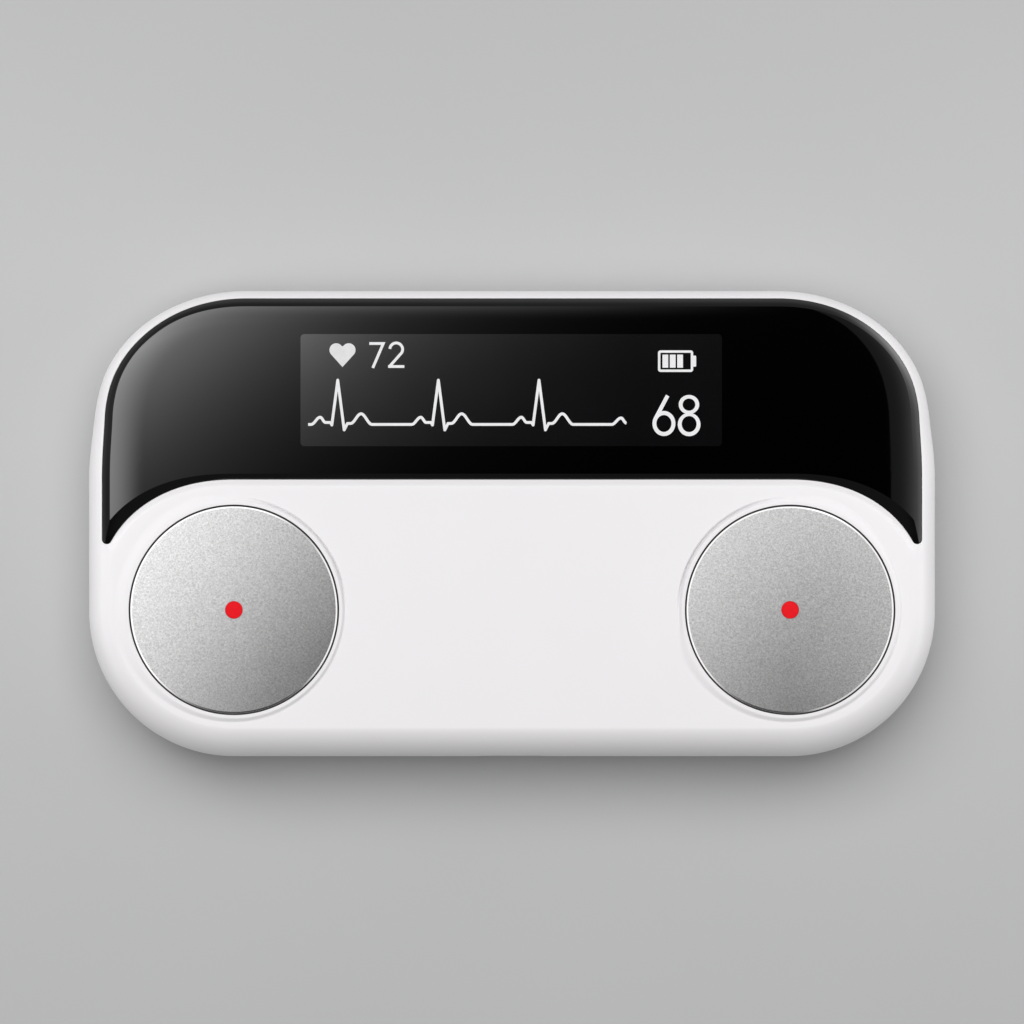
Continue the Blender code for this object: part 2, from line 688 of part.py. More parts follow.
def build_front_housing():
    """The moulded front: a rounded edge of changing width lofted up to the thumb panel,
    a scalloped seat for the window, raised lips round the electrodes, and bosses."""
    rings = [body_ring(even(0.0), FRONT_SHELL_BOTTOM)]
    for turn in arc_steps(EDGE_STEPS):
        reach = 1.0 - math.cos(turn)
        height = EDGE_START + FRONT_EDGE_DROP * math.sin(turn)
        rings.append(body_ring(lambda u, reach=reach: front_edge_run(u) * reach, height))
    shell = loft("front_housing", rings, "white_abs")

    start = FRONT_SHELL_BOTTOM - OVERRUN
    hollow = prism("front_hollow", body_outline(even(WALL)), start, CEILING_HEIGHT, None)
    cut(shell, hollow)
    groove_inset = TONGUE_INSET - TONGUE_CLEARANCE
    groove_top = TONGUE_TOP + TONGUE_CLEARANCE
    groove = prism("front_groove", body_outline(even(groove_inset)), start, groove_top, None)
    cut(shell, groove)

    core_width = 2.0 * (ELECTRODE_X - SEAT_RADIUS - PANEL_CORE_SIDE_WEB)
    core_front = PANEL_CORE_BOTTOM_WEB - BODY_HEIGHT / 2.0
    core_rear = WINDOW_BOTTOM - PANEL_CORE_TOP_WEB
    core_low = CEILING_HEIGHT - OVERRUN
    core_high = PANEL_HEIGHT - PANEL_THICKNESS
    core_size = (core_width, core_rear - core_front, core_high - core_low)
    core_centre = (0.0, (core_rear + core_front) / 2.0, (core_high + core_low) / 2.0)
    cut(shell, block("panel_core", core_size, core_centre, None, PANEL_CORE_RADIUS))

    cut(shell, window_pocket())
    opening_high = WINDOW_SEAT + OVERRUN
    opening_size = (
        OLED_WIDTH + 2.0 * DISPLAY_OPENING_MARGIN,
        OLED_HEIGHT + 2.0 * DISPLAY_OPENING_MARGIN,
        opening_high - core_low,
    )
    opening_centre = (0.0, DISPLAY_Y, (opening_high + core_low) / 2.0)
    opening = block("display_opening", opening_size, opening_centre, None, DISPLAY_OPENING_RADIUS)
    cut(shell, opening)

    for side, sign in side_shares.items():
        spot = (sign * ELECTRODE_X, ELECTRODE_Y)
        lip_foot = SEAT_RADIUS + LIP_LAND + LIP_SLOPE
        knee = PANEL_HEIGHT - LIP_RISE * LIP_BURY / LIP_SLOPE
        lip_profile = [
            (0.0, LIP_TOP),
            (SEAT_RADIUS + LIP_LAND, LIP_TOP),
            (lip_foot, knee),
            (lip_foot, PANEL_HEIGHT - LIP_BURY),
            (0.0, PANEL_HEIGHT - LIP_BURY),
        ]
        lip = turned(side + "_lip", lip_profile, ELECTRODE_SIDES, None, (*spot, 0.0))
        join(shell, lip)
        seat_top = LIP_TOP + OVERRUN
        seat = rod(side + "_seat", SEAT_RADIUS, ELECTRODE_SEAT, seat_top, spot, ELECTRODE_SIDES)
        cut(shell, seat)
        core = rod(side + "_core", CORE_RADIUS, core_low, SEAT_UNDERSIDE, spot, ELECTRODE_SIDES)
        cut(shell, core)
        hole_radius = STUD_RADIUS + STUD_CLEARANCE
        hole = rod(side + "_stud_hole", hole_radius, core_low, seat_top, spot, STUD_SIDES)
        cut(shell, hole)

    for number, (x, y) in enumerate(SCREW_PLACES, start=1):
        ceiling = CEILING_HEIGHT if y > 0.0 else core_high
        boss_radius = SCREW_RADIUS + BOSS_WALL
        low = BOARD_TOP + FIT_GAP
        high = ceiling + PANEL_THICKNESS / 2.0
        boss = rod(f"front_boss_{number}", boss_radius, low, high, (x, y), SCREW_SIDES)
        join(shell, boss)
    for number, spot in enumerate(SCREW_PLACES, start=1):
        pilot_radius = SCREW_RADIUS + THREAD_CLEARANCE
        low = BOARD_TOP - OVERRUN
        high = SCREW_END + PILOT_SPARE
        pilot = rod(f"pilot_{number}", pilot_radius, low, high, spot, SCREW_SIDES)
        cut(shell, pilot)

    cut(shell, key_opening())
    cut(shell, socket_opening())
    return shell


def window_pocket():
    """What is cut for the window: upright walls, then the rounded edge of the panel."""
    clearance = WINDOW_CLEARANCE
    rings = [window_outline_ring(clearance, WINDOW_SEAT)]
    rise = PANEL_HEIGHT - PANEL_EDGE_START
    for turn in arc_steps(PANEL_EDGE_STEPS):
        offset = clearance + PANEL_EDGE_RUN * (1.0 - math.cos(turn))
        rings.append(window_outline_ring(offset, PANEL_EDGE_START + rise * math.sin(turn)))
    rings.append(window_outline_ring(clearance + PANEL_EDGE_RUN, PANEL_HEIGHT + OVERRUN))
    return loft("window_pocket", rings, None)


def window_outline_ring(offset, height):
    return [(x, y, height) for x, y in window_outline(offset)]


def build_rear_housing():
    """The rear tub: flat back, rounded edge, a tongue that enters the front shell, four
    screw bosses and two ribs beside the battery."""
    rings = []
    for turn in reversed(arc_steps(REAR_EDGE_STEPS)):
        inset = REAR_EDGE_RUN * (1.0 - math.cos(turn))
        rings.append(body_ring(even(inset), REAR_EDGE_RISE * (1.0 - math.sin(turn))))
    rings.append(body_ring(even(0.0), REAR_SHELL_TOP))
    rings.append(body_ring(even(TONGUE_INSET), REAR_SHELL_TOP))
    rings.append(body_ring(even(TONGUE_INSET), TONGUE_TOP))
    shell = loft("rear_housing", rings, "white_abs")

    hollow = []
    for turn in reversed(arc_steps(FLOOR_FILLET_STEPS)):
        inset = WALL + FLOOR_FILLET_RUN * (1.0 - math.cos(turn))
        height = FLOOR + FLOOR_FILLET_RISE * (1.0 - math.sin(turn))
        hollow.append(body_ring(even(inset), height))
    hollow.append(body_ring(even(WALL), TONGUE_TOP + OVERRUN))
    cut(shell, loft("rear_hollow", hollow, None))

    boss_radius = SCREW_HEAD_RADIUS + SCREW_CLEARANCE + REAR_BOSS_WALL
    for number, spot in enumerate(SCREW_PLACES, start=1):
        top = BOARD_BOTTOM - FIT_GAP
        low = FLOOR / 2.0
        join(shell, rod(f"rear_boss_{number}", boss_radius, low, top, spot, SCREW_SIDES))
    for number, spot in enumerate(SCREW_PLACES, start=1):
        head_hole = SCREW_HEAD_RADIUS + SCREW_CLEARANCE
        seat = SCREW_HEAD_SEAT + FIT_GAP
        cut(shell, rod(f"counterbore_{number}", head_hole, -OVERRUN, seat, spot, SCREW_SIDES))
        shank_hole = SCREW_RADIUS + SCREW_CLEARANCE
        top = BOARD_TOP + OVERRUN
        cut(shell, rod(f"shank_hole_{number}", shank_hole, -OVERRUN, top, spot, SCREW_SIDES))

    rib_x = BATTERY_WIDTH / 2.0 + BAY_CLEARANCE + BAY_RIB_THICKNESS / 2.0
    rib_size = (BAY_RIB_THICKNESS, BAY_RIB_LENGTH, BAY_RIB_RISE + FLOOR / 2.0)
    rib_z = FLOOR + BAY_RIB_RISE - rib_size[2] / 2.0
    for side, sign in side_shares.items():
        rib_centre = (sign * rib_x, BATTERY_Y, rib_z)
        join(shell, block(side + "_bay_rib", rib_size, rib_centre, None))
    return shell


def build_window():
    """Black acrylic: the outline in the flat, a bevel all round that widens at the tips."""
    outline = window_outline(0.0)
    face = window_face_outline()
    rings = [
        [(x, y, WINDOW_BACK) for x, y in outline],
        [(x, y, WINDOW_FACE - BEVEL_DROP) for x, y in outline],
        [(x, y, WINDOW_FACE) for x, y in face],
    ]
    loft("display_window", rings, "black_acrylic", merge=MERGE_DISTANCE)

    low = WINDOW_SEAT + FIT_GAP
    tape_rings = [[(x, y, z) for x, y in face] for z in (low, low + TAPE_THICKNESS)]
    tape = loft("window_tape", tape_rings, "tape", merge=MERGE_DISTANCE)
    hole_size = (
        OLED_WIDTH + 2.0 * DISPLAY_OPENING_MARGIN,
        OLED_HEIGHT + 2.0 * DISPLAY_OPENING_MARGIN,
        TAPE_THICKNESS + 2.0 * OVERRUN,
    )
    hole_centre = (0.0, DISPLAY_Y, low)
    cut(tape, block("tape_hole", hole_size, hole_centre, None, DISPLAY_OPENING_RADIUS))


def build_electrode(side, sign):
    """A steel disc with a stud on its back, a red inlay, a seal, a clip and a spring."""
    spot = (sign * ELECTRODE_X, ELECTRODE_Y, 0.0)
    recess_radius = DOT_RADIUS + DOT_GAP
    recess_floor = ELECTRODE_FACE - DOT_THICKNESS - DOT_GAP
    disc_profile = [
        (0.0, recess_floor),
        (recess_radius, recess_floor),
        (recess_radius, ELECTRODE_FACE),
        (ELECTRODE_RADIUS - ELECTRODE_CHAMFER, ELECTRODE_FACE),
        (ELECTRODE_RADIUS, ELECTRODE_FACE - ELECTRODE_CHAMFER),
        (ELECTRODE_RADIUS, ELECTRODE_BACK),
        (STUD_RADIUS, ELECTRODE_BACK),
        (STUD_RADIUS, STUD_END),
        (0.0, STUD_END),
    ]
    turned(side + "_electrode", disc_profile, ELECTRODE_SIDES, "blasted_steel", spot)
    dot_profile = [
        (0.0, ELECTRODE_FACE),
        (DOT_RADIUS, ELECTRODE_FACE),
        (DOT_RADIUS, ELECTRODE_FACE - DOT_THICKNESS),
        (0.0, ELECTRODE_FACE - DOT_THICKNESS),
    ]
    turned(side + "_centre_dot", dot_profile, DOT_SIDES, "red_enamel", spot)

    seal_top = ELECTRODE_BACK - FIT_GAP
    seal_outer = ELECTRODE_RADIUS
    seal_profile = [
        (seal_outer, seal_top),
        (seal_outer, seal_top - SEAL_THICKNESS),
        (seal_outer - SEAL_WIDTH, seal_top - SEAL_THICKNESS),
        (seal_outer - SEAL_WIDTH, seal_top),
    ]
    turned(side + "_electrode_seal", seal_profile, SEAL_SIDES, "dark_rubber", spot)

    clip_top = SEAT_UNDERSIDE - FIT_GAP
    clip_profile = [
        (CLIP_RADIUS, clip_top),
        (CLIP_RADIUS, clip_top - CLIP_THICKNESS),
        (STUD_RADIUS + FIT_GAP, clip_top - CLIP_THICKNESS),
        (STUD_RADIUS + FIT_GAP, clip_top),
    ]
    clip = turned(side + "_stud_clip", clip_profile, STUD_SIDES, "spring_steel", spot)
    slot_size = (CLIP_RADIUS, CLIP_SLOT, CLIP_THICKNESS + 2.0 * OVERRUN)
    slot_centre = (spot[0] + CLIP_RADIUS, spot[1], clip_top)
    cut(clip, block(side + "_clip_slot", slot_size, slot_centre, None))

    strip(
        side + "_contact_spring",
        spring_path(),
        SPRING_WIDTH,
        SPRING_THICKNESS,
        (spot[0], spot[1], PARTS_BASE),
        "spring_steel",
    )


def spring_path():
    """A leaf: a foot on the board, a bend back over it, and a dome under the stud."""
    base = SPRING_THICKNESS / 2.0
    top = STUD_END - FIT_GAP - SPRING_THICKNESS / 2.0 - PARTS_BASE
    dome_z = top - SPRING_DOME
    path = [(-SPRING_FOOT / 2.0, base)]
    for i in range(SPRING_STEPS + 1):
        turn = -math.pi / 2.0 + math.pi * i / SPRING_STEPS
        x = SPRING_FOOT / 2.0 + SPRING_BEND * math.cos(turn)
        path.append((x, base + SPRING_BEND * (1.0 + math.sin(turn))))
    for i in range(SPRING_STEPS + 1):
        turn = math.pi * i / SPRING_STEPS
        path.append((SPRING_DOME * math.cos(turn), dome_z + SPRING_DOME * math.sin(turn)))
    path.append((-SPRING_DOME - SPRING_TAIL, dome_z - SPRING_TAIL))
    return path


def build_display():
    """The display glass on its carrier frame, and the flex that folds down to its socket."""
    glass_centre = (0.0, DISPLAY_Y, (OLED_TOP + OLED_BACK) / 2.0)
    glass_size = (OLED_WIDTH, OLED_HEIGHT, OLED_THICKNESS)
    block("oled_panel", glass_size, glass_centre, "display_glass")

    top = OLED_BACK - FIT_GAP
    outer = (
        OLED_WIDTH + 2.0 * CARRIER_MARGIN,
        OLED_HEIGHT + 2.0 * CARRIER_MARGIN,
        top - PARTS_BASE,
    )
    centre = (0.0, DISPLAY_Y, (top + PARTS_BASE) / 2.0)
    carrier = block("display_carrier", outer, centre, "grey_plastic", CARRIER_RADIUS)
    inner = (
        outer[0] - 2.0 * CARRIER_WALL,
        outer[1] - 2.0 * CARRIER_WALL,
        outer[2] + 2.0 * OVERRUN,
    )
    cut(carrier, block("carrier_hollow", inner, centre, None, CARRIER_RADIUS))

    high = top - FLEX_THICKNESS / 2.0
    low = PARTS_BASE + FLEX_SOCKET_RISE / 2.0
    radius = (high - low) / 2.0
    path = [(FLEX_START_X, high), (FLEX_TURN_X, high)]
    for i in range(1, FLEX_STEPS):
        turn = math.pi / 2.0 - math.pi * i / FLEX_STEPS
        path.append((FLEX_TURN_X + radius * math.cos(turn), low + radius * (1.0 + math.sin(turn))))
    path += [(FLEX_TURN_X, low), (FLEX_END_X, low)]
    flex_centre = (0.0, DISPLAY_Y, 0.0)
    strip("display_flex", path, FLEX_WIDTH, FLEX_THICKNESS, flex_centre, "amber_film")

    socket_size = (FLEX_SOCKET_LENGTH, FLEX_WIDTH, FLEX_SOCKET_RISE)
    socket_x = FLEX_END_X - FIT_GAP - FLEX_SOCKET_LENGTH / 2.0
    socket_centre = (socket_x, DISPLAY_Y, PARTS_BASE + FLEX_SOCKET_RISE / 2.0)
    block("flex_socket", socket_size, socket_centre, "chip_black", edge=CHIP_EDGE)


def build_board():
    """The circuit board with its screw holes and the notch that clears the key."""
    outline = body_outline(even(WALL + BOARD_MARGIN))
    board = prism("main_board", outline, BOARD_BOTTOM, BOARD_TOP, "board_green")
    for number, spot in enumerate(SCREW_PLACES, start=1):
        radius = SCREW_RADIUS + SCREW_CLEARANCE
        low = BOARD_BOTTOM - OVERRUN
        cut(board, rod(f"board_hole_{number}", radius, low, BOARD_TOP + OVERRUN, spot, SCREW_SIDES))
    notch_left = key_back_x() - KEY_TRAVEL - KEY_NOTCH_CLEARANCE
    notch_right = BODY_WIDTH / 2.0
    notch_size = (
        notch_right - notch_left,
        KEY_LENGTH + 2.0 * (KEY_FLANGE + KEY_NOTCH_CLEARANCE),
        BOARD_THICKNESS + 2.0 * OVERRUN,
    )
    notch_centre = ((notch_right + notch_left) / 2.0, KEY_Y, (BOARD_BOTTOM + BOARD_TOP) / 2.0)
    cut(board, block("key_notch", notch_size, notch_centre, None))


def build_board_parts():
    chips = {
        "processor_chip": (PROCESSOR_SIZE, PROCESSOR_OFFSET, "chip_black"),
        "ecg_chip": (ECG_CHIP_SIZE, ECG_CHIP_OFFSET, "chip_black"),
        "memory_chip": (MEMORY_SIZE, MEMORY_OFFSET, "chip_black"),
        "radio_module": (RADIO_SIZE, RADIO_OFFSET, "zinc"),
    }
    for name, (size, offset, finish) in chips.items():
        centre = (offset[0], ELECTRODE_Y + offset[1], PARTS_BASE + size[2] / 2.0)
        block(name, size, centre, finish, edge=CHIP_EDGE)
    top = PARTS_BASE + BUZZER_HEIGHT
    buzzer_profile = [
        (0.0, top - BUZZER_HOLE),
        (BUZZER_HOLE, top - BUZZER_HOLE),
        (BUZZER_HOLE, top),
        (BUZZER_RADIUS - CHIP_EDGE, top),
        (BUZZER_RADIUS, top - CHIP_EDGE),
        (BUZZER_RADIUS, PARTS_BASE),
        (0.0, PARTS_BASE),
    ]
    buzzer_spot = (BUZZER_OFFSET[0], ELECTRODE_Y + BUZZER_OFFSET[1], 0.0)
    turned("buzzer", buzzer_profile, BUZZER_SIDES, "chip_black", buzzer_spot)


def build_battery():
    """The pouch cell on its tape, two leads and their socket under the board."""
    cell_size = (BATTERY_WIDTH, BATTERY_HEIGHT, BATTERY_THICKNESS)
    cell_centre = (0.0, BATTERY_Y, BATTERY_BOTTOM + BATTERY_THICKNESS / 2.0)
    cell = block("battery_cell", cell_size, cell_centre, "cell_foil")
    soften = cell.modifiers.new("edges", "BEVEL")
    soften.width = BATTERY_RADIUS
    soften.segments = 2

    tape_size = (
        BATTERY_WIDTH - 2.0 * BATTERY_TAPE_MARGIN,
        BATTERY_HEIGHT - 2.0 * BATTERY_TAPE_MARGIN,
        BATTERY_TAPE,
    )
    tape_centre = (0.0, BATTERY_Y, FLOOR + FIT_GAP + BATTERY_TAPE / 2.0)
    block("battery_tape", tape_size, tape_centre, "tape")

    socket_x = BATTERY_WIDTH / 2.0 + LEAD_REACH + BATTERY_SOCKET_SIZE[0] / 2.0
    socket_z = BOARD_BOTTOM - FIT_GAP - BATTERY_SOCKET_SIZE[2] / 2.0
    socket_centre = (socket_x, BATTERY_Y, socket_z)
    block("battery_socket", BATTERY_SOCKET_SIZE, socket_centre, "grey_plastic", edge=CHIP_EDGE)

    start_x = BATTERY_WIDTH / 2.0 + FIT_GAP
    end_x = BATTERY_WIDTH / 2.0 + LEAD_REACH - FIT_GAP
    rib_top = FLOOR + BAY_RIB_RISE
    start_z = max(cell_centre[2], rib_top + FIT_GAP + LEAD_RADIUS)
    leads = {"battery_lead_plus": (1.0, "red_wire"), "battery_lead_minus": (-1.0, "black_wire")}
    for name, (sign, finish) in leads.items():
        y = BATTERY_Y + sign * LEAD_PITCH / 2.0
        middle = Vector(((start_x + end_x) / 2.0, y + sign * LEAD_BOW, (start_z + socket_z) / 2.0))
        lead(name, [Vector((start_x, y, start_z)), middle, Vector((end_x, y, socket_z))], finish)


def lead(name, points, finish):
    """A short insulated wire that leaves and arrives along X."""
    curve = bpy.data.curves.new(name, "CURVE")
    curve.dimensions = "3D"
    curve.bevel_depth = LEAD_RADIUS
    curve.bevel_resolution = 2
    curve.resolution_u = 3
    curve.use_fill_caps = True
    spline = curve.splines.new("BEZIER")
    spline.bezier_points.add(len(points) - 1)
    reach = (points[-1].x - points[0].x) / (3.0 * (len(points) - 1))
    for knot, point in zip(spline.bezier_points, points):
        knot.co = point
        knot.handle_left = point - Vector((reach, 0.0, 0.0))
        knot.handle_right = point + Vector((reach, 0.0, 0.0))
    curve.materials.append(MATERIALS[finish])
    thing = bpy.data.objects.new(name, curve)
    PARTS.objects.link(thing)


def build_screws():
    """Four pan-head screws, driven from the back, with a cross recess."""
    profile = [
        (0.0, SCREW_END),
        (SCREW_RADIUS, SCREW_END),
        (SCREW_RADIUS, SCREW_HEAD_SEAT),
        (SCREW_HEAD_RADIUS, SCREW_HEAD_SEAT),
        (SCREW_HEAD_RADIUS, SCREW_HEAD_SINK + SCREW_HEAD_EDGE),
        (SCREW_HEAD_RADIUS - SCREW_HEAD_EDGE, SCREW_HEAD_SINK),
        (0.0, SCREW_HEAD_SINK),
    ]
    arm, half = SCREW_CROSS_REACH, SCREW_CROSS_WIDTH / 2.0
    cross = [
        (arm, -half), (arm, half), (half, half), (half, arm), (-half, arm), (-half, half),
        (-arm, half), (-arm, -half), (-half, -half), (-half, -arm), (half, -arm), (half, -half),
    ]
    for number, (x, y) in enumerate(SCREW_PLACES, start=1):
        screw = turned(f"case_screw_{number}", profile, SCREW_SIDES, "zinc", (x, y, 0.0))
        outline = [(x + dx, y + dy) for dx, dy in cross]
        low = SCREW_HEAD_SINK - OVERRUN
        high = SCREW_HEAD_SINK + SCREW_CROSS_DEPTH
        cut(screw, prism(f"cross_{number}", outline, low, high, None))


def slot_outline(width, height, sides):
    """A long round-ended shape, centred, as (across, up) points."""
    radius = height / 2.0
    reach = width / 2.0 - radius
    points = []
    for sign, first in ((1.0, -math.pi / 2.0), (-1.0, math.pi / 2.0)):
        for i in range(sides + 1):
            turn = first + math.pi * i / sides
            points.append((sign * reach + radius * math.cos(turn), radius * math.sin(turn)))
    return points


def slot_along_x(name, width, height, low_x, high_x, y, z, finish):
    outline = slot_outline(width, height, SOCKET_SIDES)
    rings = [[(x, y + a, z + b) for a, b in outline] for x in (low_x, high_x)]
    return loft(name, rings, finish)


def slot_along_y(name, width, height, low_y, high_y, x, z, finish):
    outline = slot_outline(width, height, SOCKET_SIDES)
    rings = [[(x + a, y, z + b) for a, b in outline] for y in (low_y, high_y)]
    return loft(name, rings, finish)


def key_opening():
    width = KEY_LENGTH + 2.0 * KEY_CLEARANCE
    height = KEY_WIDTH + 2.0 * KEY_CLEARANCE
    low = BODY_WIDTH / 2.0 - WALL - OVERRUN
    high = BODY_WIDTH / 2.0 + OVERRUN
    return slot_along_x("key_opening", width, height, low, high, KEY_Y, KEY_HEIGHT, None)


def key_back_x():
    """X of the back of the key's flange."""
    return BODY_WIDTH / 2.0 - WALL - FIT_GAP - KEY_FLANGE_THICKNESS


def build_key():
    """The key: a long round-ended cap through the wall, a flange that stops it from
    inside, and a stem. The switch and its plunger stand behind it."""
    face_x = BODY_WIDTH / 2.0 - KEY_SINK
    flange_x = BODY_WIDTH / 2.0 - WALL - FIT_GAP
    cap_outline = slot_outline(KEY_LENGTH, KEY_WIDTH, SOCKET_SIDES)
    top_outline = slot_outline(KEY_LENGTH - 2.0 * KEY_EDGE, KEY_WIDTH - 2.0 * KEY_EDGE, SOCKET_SIDES)
    wide_outline = slot_outline(KEY_LENGTH + 2.0 * KEY_FLANGE, KEY_WIDTH + 2.0 * KEY_FLANGE, SOCKET_SIDES)
    stem_outline = slot_outline(2.0 * KEY_STEM_RADIUS, 2.0 * KEY_STEM_RADIUS, SOCKET_SIDES)
    back_x = key_back_x()
    levels = [
        (face_x, top_outline),
        (face_x - KEY_EDGE, cap_outline),
        (flange_x, cap_outline),
        (flange_x, wide_outline),
        (back_x, wide_outline),
        (back_x, stem_outline),
        (back_x - KEY_STEM_LENGTH, stem_outline),
    ]
    rings = [[(x - face_x, a, b) for a, b in outline] for x, outline in levels]
    loft("power_key", rings, "grey_plastic", (face_x, KEY_Y, KEY_HEIGHT), MERGE_DISTANCE)

    plunger_face = back_x - KEY_STEM_LENGTH - FIT_GAP
    switch_face = plunger_face - PLUNGER_REACH
    switch_size = (SWITCH_DEPTH, SWITCH_WIDTH, SWITCH_TOP - PARTS_BASE)
    switch_centre = (
        switch_face - SWITCH_DEPTH / 2.0,
        KEY_Y,
        PARTS_BASE + switch_size[2] / 2.0,
    )
    switch = block("key_switch", switch_size, switch_centre, "chip_black", edge=CHIP_EDGE)
    bore_length = PLUNGER_BURY + KEY_TRAVEL + FIT_GAP
    bore_profile = [
        (0.0, OVERRUN),
        (PLUNGER_RADIUS + PLUNGER_CLEARANCE, OVERRUN),
        (PLUNGER_RADIUS + PLUNGER_CLEARANCE, -bore_length),
        (0.0, -bore_length),
    ]
    sideways = (0.0, math.pi / 2.0, 0.0)
    mouth = (switch_face, KEY_Y, KEY_HEIGHT)
    cut(switch, turned("plunger_bore", bore_profile, PLUNGER_SIDES, None, mouth, sideways))
    plunger_profile = [
        (0.0, 0.0),
        (PLUNGER_RADIUS, 0.0),
        (PLUNGER_RADIUS, -PLUNGER_REACH - PLUNGER_BURY),
        (0.0, -PLUNGER_REACH - PLUNGER_BURY),
    ]
    nose = (plunger_face, KEY_Y, KEY_HEIGHT)
    turned("switch_plunger", plunger_profile, PLUNGER_SIDES, "red_enamel", nose, sideways)


def socket_front_y():
    return SOCKET_SINK - BODY_HEIGHT / 2.0


def socket_opening():
    width = SOCKET_WIDTH + 2.0 * SOCKET_CLEARANCE
    height = SOCKET_HEIGHT + 2.0 * SOCKET_CLEARANCE
    low = -BODY_HEIGHT / 2.0 - OVERRUN
    high = WALL + OVERRUN - BODY_HEIGHT / 2.0
    return slot_along_y("socket_opening", width, height, low, high, 0.0, SOCKET_CENTRE, None)


def build_socket():
    """The charging socket: a round-ended steel tube with a closed back, and its tongue."""
    front = socket_front_y()
    back = front + SOCKET_DEPTH
    inner_width = SOCKET_WIDTH - 2.0 * SOCKET_WALL
    inner_height = SOCKET_HEIGHT - 2.0 * SOCKET_WALL
    bore_back = back - SOCKET_WALL
    shell = slot_along_y(
        "charge_socket_shell", SOCKET_WIDTH, SOCKET_HEIGHT, front, back, 0.0, SOCKET_CENTRE, "zinc"
    )
    bore = slot_along_y(
        "socket_bore", inner_width, inner_height, front - OVERRUN, bore_back, 0.0, SOCKET_CENTRE, None
    )
    cut(shell, bore)

    base_back = bore_back - FIT_GAP
    base_front = base_back - TONGUE_BASE_DEPTH
    base_width = inner_width - 2.0 * TONGUE_BASE_CLEARANCE
    base_height = inner_height - 2.0 * TONGUE_BASE_CLEARANCE
    tongue = slot_along_y(
        "charge_socket_tongue", base_width, base_height, base_front, base_back, 0.0, SOCKET_CENTRE,
        "chip_black",
    )
    blade_front = front + TONGUE_BLADE_SINK
    blade_size = (
        TONGUE_BLADE_WIDTH,
        base_front - blade_front + TONGUE_BASE_DEPTH / 2.0,
        TONGUE_BLADE_THICKNESS,
    )
    blade_centre = (0.0, blade_front + blade_size[1] / 2.0, SOCKET_CENTRE)
    join(tongue, block("tongue_blade", blade_size, blade_centre, None))


build_front_housing()
build_rear_housing()
build_window()
for side_name, side_sign in side_shares.items():
    build_electrode(side_name, side_sign)
build_display()
build_board()
build_board_parts()
build_battery()
build_screws()
build_key()
build_socket()
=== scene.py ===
# %% [markdown]
# # A hand-held heart monitor, dressed for its portrait
#
# The CAD model already says how large every piece is and where it sits. This lesson keeps
# those sizes and gives the pieces the surfaces of the real ones: satin white mouldings, a
# polished black window with a lit readout, and two bead-blasted steel discs.
#
# We start by loading the packed model. It comes in at its real size, in metres, with its
# face up, so whatever we build can use its numbers as they are.

# %% Load the packed model
import json
import math

import bmesh
import bpy
from mathutils import Matrix, Vector

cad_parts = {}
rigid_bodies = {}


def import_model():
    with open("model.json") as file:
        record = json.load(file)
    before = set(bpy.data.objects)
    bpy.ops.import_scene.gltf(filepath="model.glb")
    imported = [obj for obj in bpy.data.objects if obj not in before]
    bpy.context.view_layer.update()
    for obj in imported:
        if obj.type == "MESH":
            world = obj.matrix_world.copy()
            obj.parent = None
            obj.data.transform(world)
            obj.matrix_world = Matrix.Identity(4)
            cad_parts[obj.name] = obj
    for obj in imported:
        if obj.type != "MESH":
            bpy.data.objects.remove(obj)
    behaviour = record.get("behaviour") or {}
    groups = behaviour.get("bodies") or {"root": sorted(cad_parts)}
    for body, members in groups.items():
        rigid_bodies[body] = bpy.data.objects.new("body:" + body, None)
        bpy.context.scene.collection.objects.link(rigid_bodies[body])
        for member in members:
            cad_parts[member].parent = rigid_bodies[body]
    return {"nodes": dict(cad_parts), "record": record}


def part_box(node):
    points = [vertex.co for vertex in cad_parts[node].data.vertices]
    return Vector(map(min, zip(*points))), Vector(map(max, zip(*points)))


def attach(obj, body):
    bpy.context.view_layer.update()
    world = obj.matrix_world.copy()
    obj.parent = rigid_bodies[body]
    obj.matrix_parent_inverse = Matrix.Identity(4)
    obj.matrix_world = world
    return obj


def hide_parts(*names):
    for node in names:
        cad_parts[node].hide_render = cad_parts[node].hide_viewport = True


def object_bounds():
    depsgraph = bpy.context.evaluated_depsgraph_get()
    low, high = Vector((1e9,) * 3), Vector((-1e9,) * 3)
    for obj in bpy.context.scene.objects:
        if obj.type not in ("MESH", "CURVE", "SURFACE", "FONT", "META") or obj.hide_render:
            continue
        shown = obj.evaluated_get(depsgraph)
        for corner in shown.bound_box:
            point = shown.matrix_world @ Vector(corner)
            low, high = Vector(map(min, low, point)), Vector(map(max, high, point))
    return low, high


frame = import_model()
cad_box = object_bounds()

MM = 0.001

# %% [markdown]
# ## Sizes
#
# The monitor lies on its back. +X runs to the right of someone who reads the display, +Y
# towards the edge above the display and +Z out of the face. We could type every size again,
# but most of them can be read off the CAD nodes' boxes, and then they can't drift apart.

# %% Read the main sizes off the CAD nodes
case_low, case_high = cad_box
BODY_WIDTH = case_high.x - case_low.x
BODY_HEIGHT = case_high.y - case_low.y
LIP_TOP = case_high.z

front_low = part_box("front_housing")[0]
rear_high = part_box("rear_housing")[1]
glass_low, glass_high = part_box("display_window")
disc_low, disc_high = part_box("right_electrode")
dot_low, dot_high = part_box("right_centre_dot")
seal_low, seal_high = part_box("right_electrode_seal")

